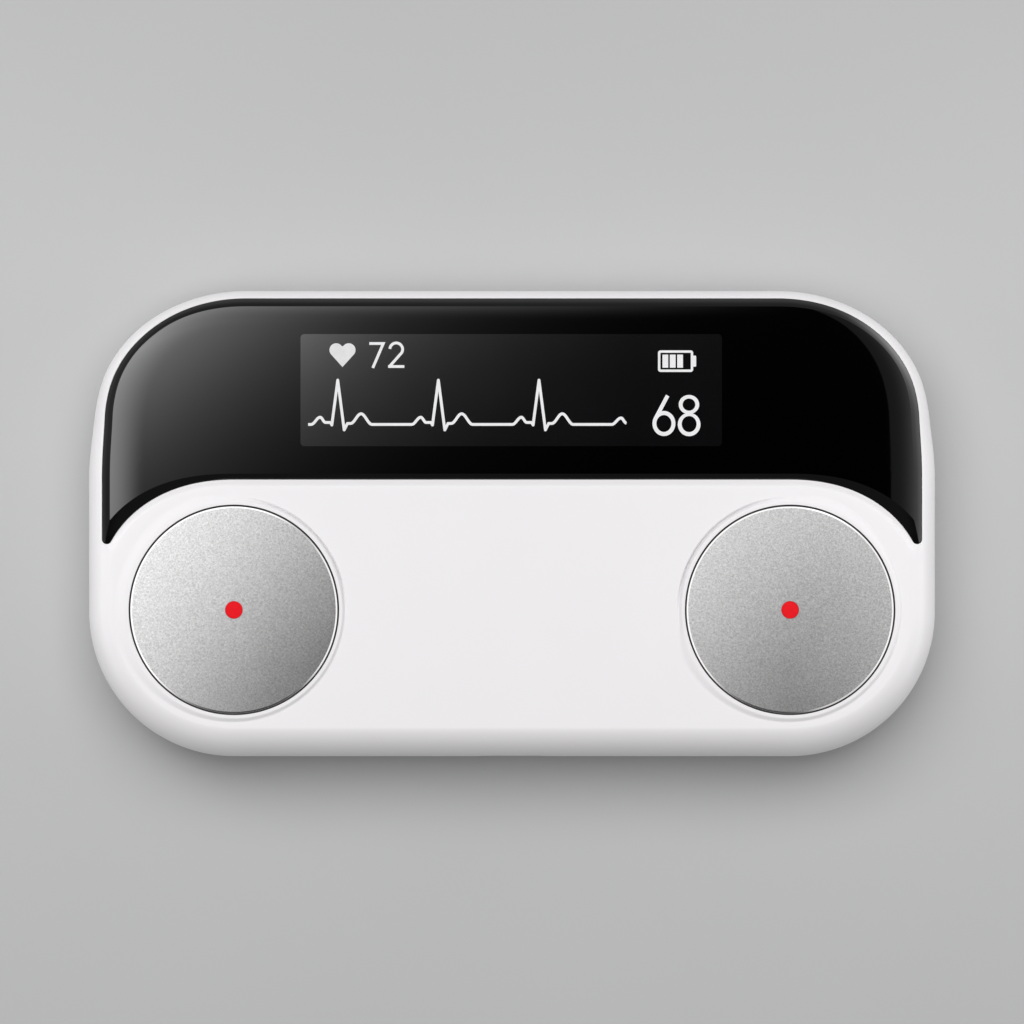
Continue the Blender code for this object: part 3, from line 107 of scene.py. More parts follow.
WINDOW_BACK = glass_low.z
WINDOW_FACE = glass_high.z
WINDOW_SIDE = glass_high.x
WINDOW_TOP = glass_high.y
ELECTRODE_X = (disc_low.x + disc_high.x) / 2.0
ELECTRODE_Y = (disc_low.y + disc_high.y) / 2.0
ELECTRODE_RADIUS = (disc_high.x - disc_low.x) / 2.0
ELECTRODE_FACE = disc_high.z
disc_spots = {"left": (-ELECTRODE_X, ELECTRODE_Y), "right": (ELECTRODE_X, ELECTRODE_Y)}
print(f"body {BODY_WIDTH / MM:.1f} x {BODY_HEIGHT / MM:.1f} x {LIP_TOP / MM:.1f} mm")
print(f"discs {2.0 * ELECTRODE_RADIUS / MM:.1f} mm across, {2.0 * ELECTRODE_X / MM:.1f} mm apart")

# %% [markdown]
# ## Tools for closed meshes
#
# Everything hard on this object is a stack of closed outlines: the case, the window, the
# key, even the digits. So the main tool is a loft, which skins one ring of points to the
# next and caps the ends. It stays closed by construction, which the booleans after it need.
# A turned piece is a loft too, with circles as its rings.

# %% Loft, prism and turning
MERGE_DISTANCE = 0.0004 * MM


def finish_mesh(name, shape):
    bmesh.ops.recalc_face_normals(shape, faces=shape.faces)
    mesh = bpy.data.meshes.new(name)
    shape.to_mesh(mesh)
    shape.free()
    thing = bpy.data.objects.new(name, mesh)
    bpy.context.scene.collection.objects.link(thing)
    return thing


def loft(name, rings, merge=0.0):
    """Skin a stack of rings with equal counts and cap both ends."""
    shape = bmesh.new()
    rows = [[shape.verts.new(point) for point in ring] for ring in rings]
    count = len(rows[0])
    for low, high in zip(rows, rows[1:]):
        for i in range(count):
            j = (i + 1) % count
            shape.faces.new((low[i], low[j], high[j], high[i]))
    shape.faces.new(list(reversed(rows[0])))
    shape.faces.new(rows[-1])
    if merge:
        bmesh.ops.remove_doubles(shape, verts=shape.verts, dist=merge)
    return finish_mesh(name, shape)


def prism(name, outline, low, high):
    """A flat outline of (x, y) points, stood up from one height to another."""
    return loft(name, [[(x, y, z) for x, y in outline] for z in (low, high)])


def rectangle(left, lower, right, upper):
    return [(left, lower), (right, lower), (right, upper), (left, upper)]


def circle(radius, height, spot, sides):
    turns = [2.0 * math.pi * i / sides for i in range(sides)]
    return [(spot[0] + radius * math.cos(t), spot[1] + radius * math.sin(t), height) for t in turns]


def turned(name, profile, spot, sides):
    """Turn (radius, height) points about an upright axis. A radius of 0 ends in a point."""
    rings = [circle(radius, height, spot, sides) for radius, height in profile]
    return loft(name, rings, MERGE_DISTANCE)


def rod(name, radius, low, high, spot, sides=48):
    return turned(name, [(radius, low), (radius, high)], spot, sides)


print(f"points closer than {MERGE_DISTANCE / MM:.4f} mm are merged")

# %% [markdown]
# Holes, slots and bosses are cut and joined with booleans. The modifiers could stay on the
# piece, but they would slow down every step after them, so each one is baked at once and
# its tool thrown away. The solver is the one for closed meshes, which leaves them closed.

# %% Cutting and joining
CUT_SOLVER = "MANIFOLD"


def bake(thing):
    """Replace a piece's mesh by what its modifiers make of it."""
    seen = thing.evaluated_get(bpy.context.evaluated_depsgraph_get())
    mesh = bpy.data.meshes.new_from_object(seen)
    thing.modifiers.clear()
    thing.data = mesh
    return thing


def carve(thing, tool, operation="DIFFERENCE"):
    """Cut a tool out of a piece, or join it on, and throw the tool away."""
    modifier = thing.modifiers.new("carve", "BOOLEAN")
    modifier.operation = operation
    modifier.solver = CUT_SOLVER
    modifier.object = tool
    bake(thing)
    bpy.data.objects.remove(tool, do_unlink=True)
    return thing


def join(thing, tool):
    return carve(thing, tool, "UNION")


print("cuts and joins by the solver", CUT_SOLVER)

# %% [markdown]
# A moulding is smooth where it bends and crisp where it was cut. So every edge above an
# angle stays sharp, and a modifier weights the normals by the faces' areas, which keeps
# large flat faces flat right up to their rounded edges. The three small sums after it draw
# the soft steps, the blends and the round edges of nearly every piece.

# %% Shading and small sums
SHARP_ANGLE = math.radians(32.0)


def shade(thing, angle=SHARP_ANGLE):
    """Smooth shading that keeps real edges, and keeps large flat faces flat."""
    thing.data.shade_smooth()
    thing.data.set_sharp_from_angle(angle=angle)
    level = thing.modifiers.new("level_faces", "WEIGHTED_NORMAL")
    level.keep_sharp = True
    return thing


def smooth(t):
    """Rise from 0 to 1 with level ends."""
    t = min(1.0, max(0.0, t))
    return t * t * (3.0 - 2.0 * t)


def mix(low, high, share):
    return low + (high - low) * share


def arc(count):
    """Angles from 0 to a quarter turn."""
    return [math.pi / 2.0 * i / count for i in range(count + 1)]


print("a soft step at a quarter of its way:", round(smooth(0.25), 3))

# %% [markdown]
# ## The outline of the body
#
# Seen from above the body is a rounded box with two things of its own: the sides swing out
# by less than a millimetre below the display, and the upper corners are a little flatter
# than the lower ones. A curve drawn by hand could do it. A formula is easier to inset, to
# sample finely and to share between both shells and the window, so one number u runs along
# the right half: the top edge, the upper corner, the side, the lower corner, the bottom.

# %% Outline of the body
CORNER_RUN = 17.7 * MM
CORNER_DROP = 14.8 * MM
LOWER_RADIUS = 17.1 * MM
SIDE_FLARE = 0.86 * MM
FLARE_TOP = 16.0 * MM
FLARE_LENGTH = 10.5 * MM
TOP_RUN = BODY_WIDTH / 2.0 - SIDE_FLARE - CORNER_RUN
CORNER_CENTRE_Y = BODY_HEIGHT / 2.0 - CORNER_DROP
LOWER_CENTRE_X = BODY_WIDTH / 2.0 - LOWER_RADIUS
LOWER_CENTRE_Y = LOWER_RADIUS - BODY_HEIGHT / 2.0


def flare_share(y):
    """How far the side has swung out, from 0 beside the display to 1 below it."""
    return smooth((FLARE_TOP - y) / FLARE_LENGTH)


def outline_point(u):
    if u <= 1.0:
        x, y = TOP_RUN * u, BODY_HEIGHT / 2.0
    elif u <= 2.0:
        turn = (2.0 - u) * math.pi / 2.0
        x = TOP_RUN + CORNER_RUN * math.cos(turn)
        y = CORNER_CENTRE_Y + CORNER_DROP * math.sin(turn)
    elif u <= 3.0:
        x, y = TOP_RUN + CORNER_RUN, mix(CORNER_CENTRE_Y, LOWER_CENTRE_Y, u - 2.0)
    elif u <= 4.0:
        turn = (u - 3.0) * math.pi / 2.0
        x = LOWER_CENTRE_X + LOWER_RADIUS * math.cos(turn)
        y = LOWER_CENTRE_Y - LOWER_RADIUS * math.sin(turn)
    else:
        x, y = LOWER_CENTRE_X * (5.0 - u), -BODY_HEIGHT / 2.0
    if u <= 3.0:
        x += SIDE_FLARE * flare_share(y)
    return Vector((x, y))


def outline_normal(u):
    step_share = 0.001
    along = outline_point(min(5.0, u + step_share)) - outline_point(max(0.0, u - step_share))
    along.normalize()
    return Vector((-along.y, along.x))


print(f"upper corners {CORNER_RUN / MM:.1f} x {CORNER_DROP / MM:.1f} mm")
print(f"lower corners {LOWER_RADIUS / MM:.1f} mm round")

# %% [markdown]
# A ring for the loft is this outline, drawn in by some width and lifted to some height. Its
# stations stand close together in the corners. Along the straight top and bottom it needs
# none, because the loft draws straight lines anyway. The left half mirrors the right one.

# %% Rings of the body
CORNER_STEPS = 40
SIDE_STEPS = 30
LOWER_STEPS = 44


def stations():
    corner = [1.0 + i / CORNER_STEPS for i in range(CORNER_STEPS)]
    side = [2.0 + i / SIDE_STEPS for i in range(SIDE_STEPS)]
    lower = [3.0 + i / LOWER_STEPS for i in range(LOWER_STEPS + 1)]
    return corner + side + lower


def mirrored(half):
    """Close a right half, given from top to bottom, with its mirror image."""
    return half + [(-x, y) for x, y in reversed(half)]


def even(width):
    return lambda u: width


def body_outline(inset):
    half = [outline_point(u) - outline_normal(u) * inset(u) for u in stations()]
    return mirrored([(point.x, point.y) for point in half])


def body_ring(inset, height):
    return [(x, y, height) for x, y in body_outline(inset)]


print(len(stations()), "stations on each half of the outline")

# %% [markdown]
# ## The outline of the window
#
# The black window follows the body's rim at the top and the sides. Below, it is scalloped
# round the two thumb discs: an arc about each disc's middle whose radius grows outwards,
# until it meets the side in a thin rounded tip. The rim isn't even either: it grows from
# the top down to the tips, and a little less in the upper corners.

# %% Rim and scallop
RIM_TOP = BODY_HEIGHT / 2.0 - WINDOW_TOP
RIM_SIDE = BODY_WIDTH / 2.0 - WINDOW_SIDE
RIM_CORNER = 1.12 * MM
rim_growth_share = 0.67
CORNER_THINNING = 0.12 * MM
SCALLOP_RADIUS = 15.4 * MM
SCALLOP_GROWTH = 1.2 * MM
SCALLOP_SPREAD = math.radians(60.0)
corner_rise_share, corner_fall_share, corner_end = 0.4, 0.5, 2.05
WINDOW_BOTTOM = ELECTRODE_Y + SCALLOP_RADIUS


def corner_share(u):
    """1 in the middle of the upper corner and 0 at its ends."""
    return smooth((u - 1.0) / corner_rise_share) * smooth((corner_end - u) / corner_fall_share)


def rim_width(u):
    growth = smooth((u - 1.0) / rim_growth_share)
    flare = flare_share(outline_point(u).y)
    width = RIM_TOP + (RIM_CORNER - RIM_TOP) * growth + (RIM_SIDE - RIM_CORNER) * flare
    return width - CORNER_THINNING * corner_share(u)


def scallop_radius(angle):
    """From the disc's middle to the window's lower edge, by the angle from straight up."""
    return SCALLOP_RADIUS + SCALLOP_GROWTH * smooth(angle / SCALLOP_SPREAD)


print(f"rim {RIM_TOP / MM:.2f} mm wide above the window, {RIM_SIDE / MM:.2f} mm beside its tips")

# %% [markdown]
# The bevel along the window is wider at the tips, and inside each tip the two bevels meet
# in a sharp mitre. Where two such curves meet can't be written as a short formula, so we
# find it by halving. The same helper places the middle of the tip's round end.

# %% Bevel and tips
TIP_RADIUS = 0.59 * MM
BEVEL_RUN = 0.95 * MM
BEVEL_RUN_CORNER = 0.76 * MM
BEVEL_RUN_BOTTOM = 0.7 * MM
BEVEL_RUN_TIP = 1.55 * MM
HALVINGS = 40


def bevel_run_side(u):
    return mix(BEVEL_RUN, BEVEL_RUN_CORNER, corner_share(u))


def bevel_run_scallop(angle):
    return mix(BEVEL_RUN_BOTTOM, BEVEL_RUN_TIP, smooth(angle / SCALLOP_SPREAD))


def meeting_angle(side_inset, reach):
    """Where the scallop, moved out by reach(angle), meets the side drawn in."""
    low, high = 0.0, math.pi / 2.0
    target = WINDOW_SIDE - side_inset - ELECTRODE_X
    for _ in range(HALVINGS):
        middle = (low + high) / 2.0
        if (scallop_radius(middle) + reach(middle)) * math.sin(middle) < target:
            low = middle
        else:
            high = middle
    return low


TIP_ANGLE = meeting_angle(TIP_RADIUS, even(TIP_RADIUS))
TIP_CENTRE = Vector((
    WINDOW_SIDE - TIP_RADIUS,
    ELECTRODE_Y + (scallop_radius(TIP_ANGLE) + TIP_RADIUS) * math.cos(TIP_ANGLE),
))
print(f"tips at X {TIP_CENTRE.x / MM:.2f} and Y {TIP_CENTRE.y / MM:.2f} mm")

# %% [markdown]
# Now one walk goes down the side, round the tip and up the scallop, and notes each point
# with its outward normal. Moved along the normals, the points give every outline round the
# window. Inside the window that works up to the mitre only. Every station past it is drawn
# to the mitre's point, or the outline would cross itself in the tip.

# %% Outlines of the window
SCALLOP_STEPS = 48
TIP_STEPS = 12


def window_half():
    """(point, outward normal, kind, station or angle) down the side, round the tip and up
    the scallop."""
    rows = []
    for u in stations():
        if u > 3.0 or outline_point(u).y < TIP_CENTRE.y:
            break
        normal = outline_normal(u)
        rows.append((outline_point(u) - normal * rim_width(u), normal, "side", u))
    for i in range(TIP_STEPS + 1):
        turn = -(math.pi / 2.0 + TIP_ANGLE) * i / TIP_STEPS
        normal = Vector((math.cos(turn), math.sin(turn)))
        rows.append((TIP_CENTRE + normal * TIP_RADIUS, normal, "tip", 0.0))
    for i in range(1, SCALLOP_STEPS + 1):
        angle = TIP_ANGLE * (1.0 - i / SCALLOP_STEPS)
        outwards = Vector((math.sin(angle), math.cos(angle)))
        point = Vector((ELECTRODE_X, ELECTRODE_Y)) + outwards * scallop_radius(angle)
        rows.append((point, -outwards, "scallop", angle))
    return rows


WINDOW_HALF = window_half()


def window_outline(offset):
    half = [point + normal * offset for point, normal, _, _ in WINDOW_HALF]
    return mirrored([(point.x, point.y) for point in half])


def window_inner(bevel_share, beyond):
    """The outline drawn in by a share of the bevel's run and then by a width beyond it,
    with a sharp mitre inside each tip."""
    def reach(angle):
        return bevel_share * bevel_run_scallop(angle) + beyond

    side_inset = bevel_share * BEVEL_RUN + beyond
    angle = meeting_angle(side_inset, reach)
    outwards = Vector((math.sin(angle), math.cos(angle)))
    corner = Vector((ELECTRODE_X, ELECTRODE_Y)) + outwards * (scallop_radius(angle) + reach(angle))
    half = []
    for point, normal, kind, turn in WINDOW_HALF:
        if kind == "tip":
            inner = corner
        else:
            side_reach = bevel_share * bevel_run_side(turn) + beyond
            inner = point - normal * (side_reach if kind == "side" else reach(turn))
        past_side = normal.x > 0.0 and inner.y < corner.y
        past_scallop = kind == "scallop" and inner.x > corner.x
        if past_side or past_scallop:
            inner = corner
        half.append((inner.x, inner.y))
    return mirrored(half)


print(f"window {2.0 * WINDOW_SIDE / MM:.1f} mm wide, {len(WINDOW_HALF)} points on each half")

# %% [markdown]
# ## The white plastic
#
# The shells are injection-moulded ABS with a fine satin texture. Under soft light it is
# almost even, which is why a single flat colour would look like a drawing. Image textures
# would need a flattened mesh. Noise needs none, so all finishes here are made of it, with
# one small helper for each step between the noise and the shader.

# %% Noise, tint and bump
noise_middle_shares = (0.3, 0.7)


def blank_material(name):
    material = bpy.data.materials.new(name)
    material.use_nodes = True
    return material, material.node_tree.nodes, material.node_tree.links


def noise(nodes, links, size, detail=2.0, distortion=0.0):
    """Noise whose blobs are about the given size, in the piece's own space."""
    place = nodes.new("ShaderNodeTexCoord")
    texture = nodes.new("ShaderNodeTexNoise")
    texture.inputs["Scale"].default_value = 1.0 / size
    texture.inputs["Detail"].default_value = detail
    texture.inputs["Distortion"].default_value = distortion
    links.new(place.outputs["Object"], texture.inputs["Vector"])
    return texture.outputs["Fac"]


def spread(nodes, links, source, low, high):
    """Map a noise's middle range to the range given."""
    remap = nodes.new("ShaderNodeMapRange")
    remap.inputs["From Min"].default_value = noise_middle_shares[0]
    remap.inputs["From Max"].default_value = noise_middle_shares[1]
    remap.inputs["To Min"].default_value = low
    remap.inputs["To Max"].default_value = high
    links.new(source, remap.inputs["Value"])
    return remap.outputs["Result"]


def tint(nodes, links, source, colour, swing):
    """Let a colour drift a little lighter and darker with a noise."""
    blend = nodes.new("ShaderNodeMix")
    blend.data_type = "RGBA"
    blend.inputs["A"].default_value = (*[c * (1.0 - swing) for c in colour], 1.0)
    blend.inputs["B"].default_value = (*[min(1.0, c * (1.0 + swing)) for c in colour], 1.0)
    links.new(spread(nodes, links, source, 0.0, 1.0), blend.inputs["Factor"])
    return blend.outputs["Result"]


def bumped(nodes, links, source, depth):
    bump = nodes.new("ShaderNodeBump")
    bump.inputs["Distance"].default_value = depth
    bump.inputs["Strength"].default_value = 1.0
    links.new(source, bump.inputs["Height"])
    return bump.outputs["Normal"]


print("noise counts between", noise_middle_shares[0], "and", noise_middle_shares[1])

# %% [markdown]
# Two noises do the work: a slow one that lets the gloss drift by a few hundredths, as the
# texture in a real mould does, and one finer than the eye separates, as bump, that breaks
# highlights up. The same recipe with other numbers serves most of the small parts.

# %% The white plastic
def finish(name, colour, gloss, swing=0.03, drift=6.0 * MM, grain=0.12 * MM, depth=0.001 * MM,
           metallic=0.0, ior=1.5, distortion=0.0):
    """A surface with drifting colour and roughness and a fine relief. gloss is the range
    of the roughness."""
    material, nodes, links = blank_material(name)
    shader = nodes["Principled BSDF"]
    shader.inputs["Metallic"].default_value = metallic
    shader.inputs["IOR"].default_value = ior
    slow = noise(nodes, links, drift)
    fine = noise(nodes, links, grain, distortion=distortion)
    links.new(tint(nodes, links, slow, colour, swing), shader.inputs["Base Color"])
    links.new(spread(nodes, links, slow, *gloss), shader.inputs["Roughness"])
    links.new(bumped(nodes, links, fine, depth), shader.inputs["Normal"])
    return material


def dress(piece, material):
    piece.data.materials.clear()
    piece.data.materials.append(material)
    return piece


WHITE = finish("satin_white_moulding", (0.83, 0.815, 0.826), (0.34, 0.42), swing=0.006,
               drift=9.0 * MM, grain=0.16 * MM, depth=0.0012 * MM)
print("made", WHITE.name)

# %% [markdown]
# ## The front shell
#
# This is the moulding that takes the most skill. Its rounded edge is narrow beside the
# window and wide below it, so the edge is lofted from rings whose inset changes along the
# outline. Into that solid we cut the hollow, the groove for the rear shell's tongue, the
# scalloped seat of the window and the seats of the discs, and onto it goes a raised lip
# round each disc. Subdivision could round such a shape too, but it would pull the thin rim
# about. Rings keep every width where we put it. The edge's section is a superellipse a
# little sharper than an ellipse, which is how quickly the shading falls off along the bottom.

# %% Front shell: the rounded body
FRONT_EDGE_DROP = 4.2 * MM
EDGE_RUN_SIDE = 2.8 * MM
EDGE_RUN_BOTTOM = 3.4 * MM
EDGE_STEPS = 18
edge_power = 1.64
LIP_RISE = 0.3 * MM
RIM_DROP = 0.7 * MM
PARTING_EDGE = 0.12 * MM
PARTING_STEPS = 3
FRONT_SHELL_BOTTOM = front_low.z
PANEL_HEIGHT = LIP_TOP - LIP_RISE
RIM_HEIGHT = PANEL_HEIGHT - RIM_DROP
EDGE_START = PANEL_HEIGHT - FRONT_EDGE_DROP


def front_edge_run(u):
    """Width of the rounded edge. Beside the window the edge passes through the rim's inner
    edge at the rim's height."""
    climb = (RIM_HEIGHT - EDGE_START) / FRONT_EDGE_DROP
    upper = rim_width(u) / (1.0 - (1.0 - climb ** edge_power) ** (1.0 / edge_power))
    lower = mix(EDGE_RUN_SIDE, EDGE_RUN_BOTTOM, smooth(u - 3.0))
    tip = TIP_CENTRE.y - TIP_RADIUS
    share = smooth((outline_point(u).y - tip) / (WINDOW_BOTTOM - tip))
    return mix(lower, upper, share)


def parting_edge(height, rise):
    """Rings that round a shell's edge at the parting line, so that it catches the light."""
    return [body_ring(even(PARTING_EDGE * (1.0 - math.sin(t))), height + rise * (1.0 - math.cos(t)))
            for t in arc(PARTING_STEPS)]


front_rings = parting_edge(FRONT_SHELL_BOTTOM, PARTING_EDGE)
for edge_turn in arc(EDGE_STEPS):
    edge_reach = 1.0 - max(0.0, math.cos(edge_turn)) ** (2.0 / edge_power)
    front_rings.append(body_ring(
        lambda u: front_edge_run(u) * edge_reach,
        EDGE_START + FRONT_EDGE_DROP * math.sin(edge_turn) ** (2.0 / edge_power),
    ))
front = loft("white_front_shell", front_rings)
print("front blank:", len(front.data.polygons), "faces")

# %% [markdown]
# So far the shell is a solid. A prism of the same outline, drawn in by the wall, hollows it
# from below, and a second one cuts the groove that the rear shell's tongue stands in. Then
# four bosses hang from the ceiling, each with a hole for its screw. Solidify would make the
# wall in one step, but not a level ceiling, and the bosses would need cuts all the same.

# %% Front shell: hollow, groove and screw bosses
WALL = 1.7 * MM
OVERRUN = 1.0 * MM
CEILING = 10.2 * MM
PANEL_THICKNESS = 1.6 * MM
TONGUE_INSET = 1.05 * MM
TONGUE_CLEARANCE = 0.15 * MM
GROOVE_TOP = rear_high.z + TONGUE_CLEARANCE
BOARD_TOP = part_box("main_board")[1].z
SCREWS = 4
BOSS_RADIUS = 2.4 * MM
PILOT_RADIUS = 1.0 * MM
PILOT_SPARE = 0.6 * MM

hollow_start = FRONT_SHELL_BOTTOM - OVERRUN
carve(front, prism("hollow", body_outline(even(WALL)), hollow_start, CEILING))
groove_outline = body_outline(even(TONGUE_INSET - TONGUE_CLEARANCE))
carve(front, prism("groove", groove_outline, hollow_start, GROOVE_TOP))

screw_boxes = [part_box(f"case_screw_{number}") for number in range(1, SCREWS + 1)]
screw_spots = [((low.x + high.x) / 2.0, (low.y + high.y) / 2.0) for low, high in screw_boxes]
for x, y in screw_spots:
    ceiling = CEILING if y > 0.0 else PANEL_HEIGHT - PANEL_THICKNESS
    boss_top = ceiling + PANEL_THICKNESS / 2.0
    join(front, rod("boss", BOSS_RADIUS, BOARD_TOP, boss_top, (x, y)))
for spot in screw_spots:
    pilot_top = screw_boxes[0][1].z + PILOT_SPARE
    carve(front, rod("pilot", PILOT_RADIUS, BOARD_TOP - OVERRUN, pilot_top, spot))
print("front shell hollowed, with", len(screw_spots), "bosses")

# %% [markdown]
# The window's seat goes straight down along the window's outline. Above it the panel's
# edge isn't sharp: it has a soft crest, slopes down towards the glass and ends in a small
# round. The cutter is a loft of the window's outline, moved outwards step by step along that
# profile, which is written as shares of its run and its rise.

# %% Front shell: the window's seat and the display's opening
PANEL_EDGE_RUN = 1.9 * MM
PANEL_EDGE_LIFT = 0.02 * MM
panel_edge_shares = [
    (0.0, 0.0), (0.005, 0.05), (0.017, 0.08), (0.03, 0.1), (0.055, 0.135), (0.16, 0.39), (0.265, 0.645),
    (0.37, 0.9), (0.41, 0.936), (0.46, 0.957), (0.55, 0.979), (0.68, 0.993), (0.84, 0.998), (1.0, 1.0),
]
TAPE_ROOM = 0.25 * MM
WINDOW_SEAT = WINDOW_BACK - TAPE_ROOM
DISPLAY_MARGIN = 0.6 * MM
oled_low, oled_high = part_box("oled_panel")


def ring_at(outline, height):
    return [(x, y, height) for x, y in outline]


seat_rings = [ring_at(window_outline(0.0), WINDOW_SEAT)]
edge_low = RIM_HEIGHT + PANEL_EDGE_LIFT
for run_share, rise_share in panel_edge_shares:
    height = mix(edge_low, PANEL_HEIGHT, rise_share)
    seat_rings.append(ring_at(window_outline(PANEL_EDGE_RUN * run_share), height))
seat_rings.append(ring_at(window_outline(PANEL_EDGE_RUN), PANEL_HEIGHT + OVERRUN))
carve(front, loft("window_seat", seat_rings))

opening = rectangle(oled_low.x - DISPLAY_MARGIN, oled_low.y - DISPLAY_MARGIN,
                    oled_high.x + DISPLAY_MARGIN, oled_high.y + DISPLAY_MARGIN)
carve(front, prism("display_opening", opening, CEILING - OVERRUN, WINDOW_SEAT + OVERRUN))
print("window seat cut at", round(WINDOW_SEAT / MM, 2), "mm")

# %% [markdown]
# Each disc sits inside a raised lip. On the photograph the lip is a pale ring with a soft
# grey band outside it, so its outer flank is an S-curve and not a chamfer. The band is
# narrow and dark at the lower right and towards the middle of the panel, and it fades out
# at the upper left. So the flank is short and steep where the band is dark and runs out
# slowly where it fades.
#
# Towards the window and the panel's middle a fine dark line sets the lip off. There the
# flank dives below the panel into a narrow moat. A thin shadow painted on would be simpler,
# but it would stay there under any light. So a function says for each direction how wide
# the flank is and how deep the moat.

# %% Front shell: lips that change with the direction
side_signs = {"left": -1.0, "right": 1.0}
SEAT_RADIUS = ELECTRODE_RADIUS + 0.28 * MM
LIP_START = SEAT_RADIUS + 0.32 * MM
LIP_SLOPE_STEEP = 0.42 * MM
LIP_SLOPE_WIDE = 1.5 * MM
LIP_SOFTENING = 0.12 * MM
lower_right_share = 0.6
steep_from_share, steep_over_share = 0.35, 0.35
moat_from_share, moat_over_share = 0.66, 0.3
moat_slope_shares = {"left": -0.5, "right": 0.4}
moat_least_share = 0.01
MOAT_DEGREES = 48.0
MOAT_DEPTHS = {"left": 0.34 * MM, "right": 0.42 * MM}
ROUND_SIDES = 192


def lip_shape(turn, side):
    """Width of the flank, depth of the moat and its share, in one direction from the disc's
    middle."""
    lower_right = smooth(0.5 + lower_right_share * math.cos(turn + math.pi / 4.0))
    nearness = math.cos(turn - math.radians(90.0 + side_signs[side] * MOAT_DEGREES))
    near = smooth((nearness - steep_from_share) / steep_over_share)
    moated = smooth((nearness - moat_from_share) / moat_over_share)
    steep = 1.0 - (1.0 - lower_right) * (1.0 - near)
    slope = mix(LIP_SLOPE_WIDE, LIP_SLOPE_STEEP, steep)
    slope += LIP_SOFTENING * (max(0.0, -math.sin(turn)) ** 4 + moat_slope_shares[side] * moated)
    return slope, MOAT_DEPTHS[side] * mix(moat_least_share, 1.0, moated), moated


def ring_about(side, place):
    """A ring about one disc. place turns what lip_shape gives into a radius and a height."""
    middle_x, middle_y = disc_spots[side]
    points = []
    for i in range(ROUND_SIDES):
        turn = 2.0 * math.pi * i / ROUND_SIDES
        radius, height = place(*lip_shape(turn, side))
        points.append((middle_x + radius * math.cos(turn), middle_y + radius * math.sin(turn), height))
    return points


print(f"flanks {LIP_SLOPE_STEEP / MM:.2f} to {LIP_SLOPE_WIDE / MM:.2f} mm wide")

# %% [markdown]
# The lip is a plug of such rings. It reaches down into the panel, so that joining it leaves
# no gap, and the moat is cut first. The lip then fills the moat again up to its flank, and
# so the two surfaces meet in a cusp, which no rounded groove would give.

# %% Front shell: a lip and its moat
LIP_BURY = 0.5 * MM
LIP_STEPS = 14
lip_sink_share = 0.985
MOAT_RUN = 0.28 * MM
MOAT_SPARE = 0.004 * MM
MOAT_STEPS = 6
moat_brim_share = 0.02


def lip(side):
    """A plug whose flank is an S-curve, and half a parabola where the moat is."""
    rings = [ring_about(side, lambda slope, depth, moated: (LIP_START + slope, PANEL_HEIGHT - LIP_BURY))]
    for i in range(LIP_STEPS, -1, -1):
        share = i / LIP_STEPS
        rings.append(ring_about(side, lambda slope, depth, moated: (
            LIP_START + slope * share,
            LIP_TOP - (LIP_RISE * lip_sink_share + depth) * mix(smooth(share), share ** 2, moated),
        )))
    return loft("lip", rings)


def moat(side):
    """The cutter for the moat. The lip then fills it again, up to its flank."""
    rings = []
    for i in range(MOAT_STEPS + 1):
        share = i / MOAT_STEPS
        rings.append(ring_about(side, lambda slope, depth, moated: (
            LIP_START + slope + MOAT_SPARE + MOAT_RUN * share,
            PANEL_HEIGHT - depth * ((1.0 + moat_brim_share) * (1.0 - share) ** 2 - moat_brim_share),
        )))
    rings.append(ring_about(side, lambda slope, depth, moated: (
        LIP_START + slope + MOAT_SPARE + MOAT_RUN, PANEL_HEIGHT + OVERRUN,
    )))
    return loft("moat", rings)


print("moats", [round(depth / MM, 2) for depth in MOAT_DEPTHS.values()], "mm deep")

# %% [markdown]
# The disc's seat inside the lip is a plain bore with a rounded brim. A core below it leaves
# a floor of even thickness, as a mould would, and a hole lets the disc's stud through.

# %% Front shell: raised lips and the discs' seats
LIP_EDGE = 0.06 * MM
LIP_EDGE_STEPS = 4
SEAL_GAP = 0.05 * MM
ELECTRODE_SEAT = seal_low.z - SEAL_GAP
SEAT_FLOOR = 1.2 * MM
CORE_RADIUS = 11.0 * MM
STUD_RADIUS = 2.0 * MM
STUD_CLEARANCE = 0.3 * MM

seat_profile = [(SEAT_RADIUS, ELECTRODE_SEAT), (SEAT_RADIUS, LIP_TOP - LIP_EDGE)]
seat_profile += [
    (SEAT_RADIUS + LIP_EDGE * (1.0 - math.cos(t)), LIP_TOP - LIP_EDGE * (1.0 - math.sin(t)))
    for t in arc(LIP_EDGE_STEPS)[1:]
]
seat_profile.append((SEAT_RADIUS + LIP_EDGE, LIP_TOP + OVERRUN))
core_top = ELECTRODE_SEAT - SEAT_FLOOR
stud_hole = STUD_RADIUS + STUD_CLEARANCE
for side, spot in disc_spots.items():
    carve(front, moat(side))
    join(front, lip(side))
    carve(front, turned("disc_seat", seat_profile, spot, ROUND_SIDES))
    carve(front, rod("core", CORE_RADIUS, CEILING - OVERRUN, core_top, spot, ROUND_SIDES))
    carve(front, rod("stud_hole", stud_hole, CEILING - OVERRUN, LIP_TOP + OVERRUN, spot))
print("lips", LIP_RISE / MM, "mm high round seats of radius", round(SEAT_RADIUS / MM, 2), "mm")

# %% [markdown]
# The last two cuts are the key's slot in the right edge and the charging socket's slot in
# the lower one. Both are long holes with round ends, so one helper draws the outline, and
# the ring is stood up along X or along Y.

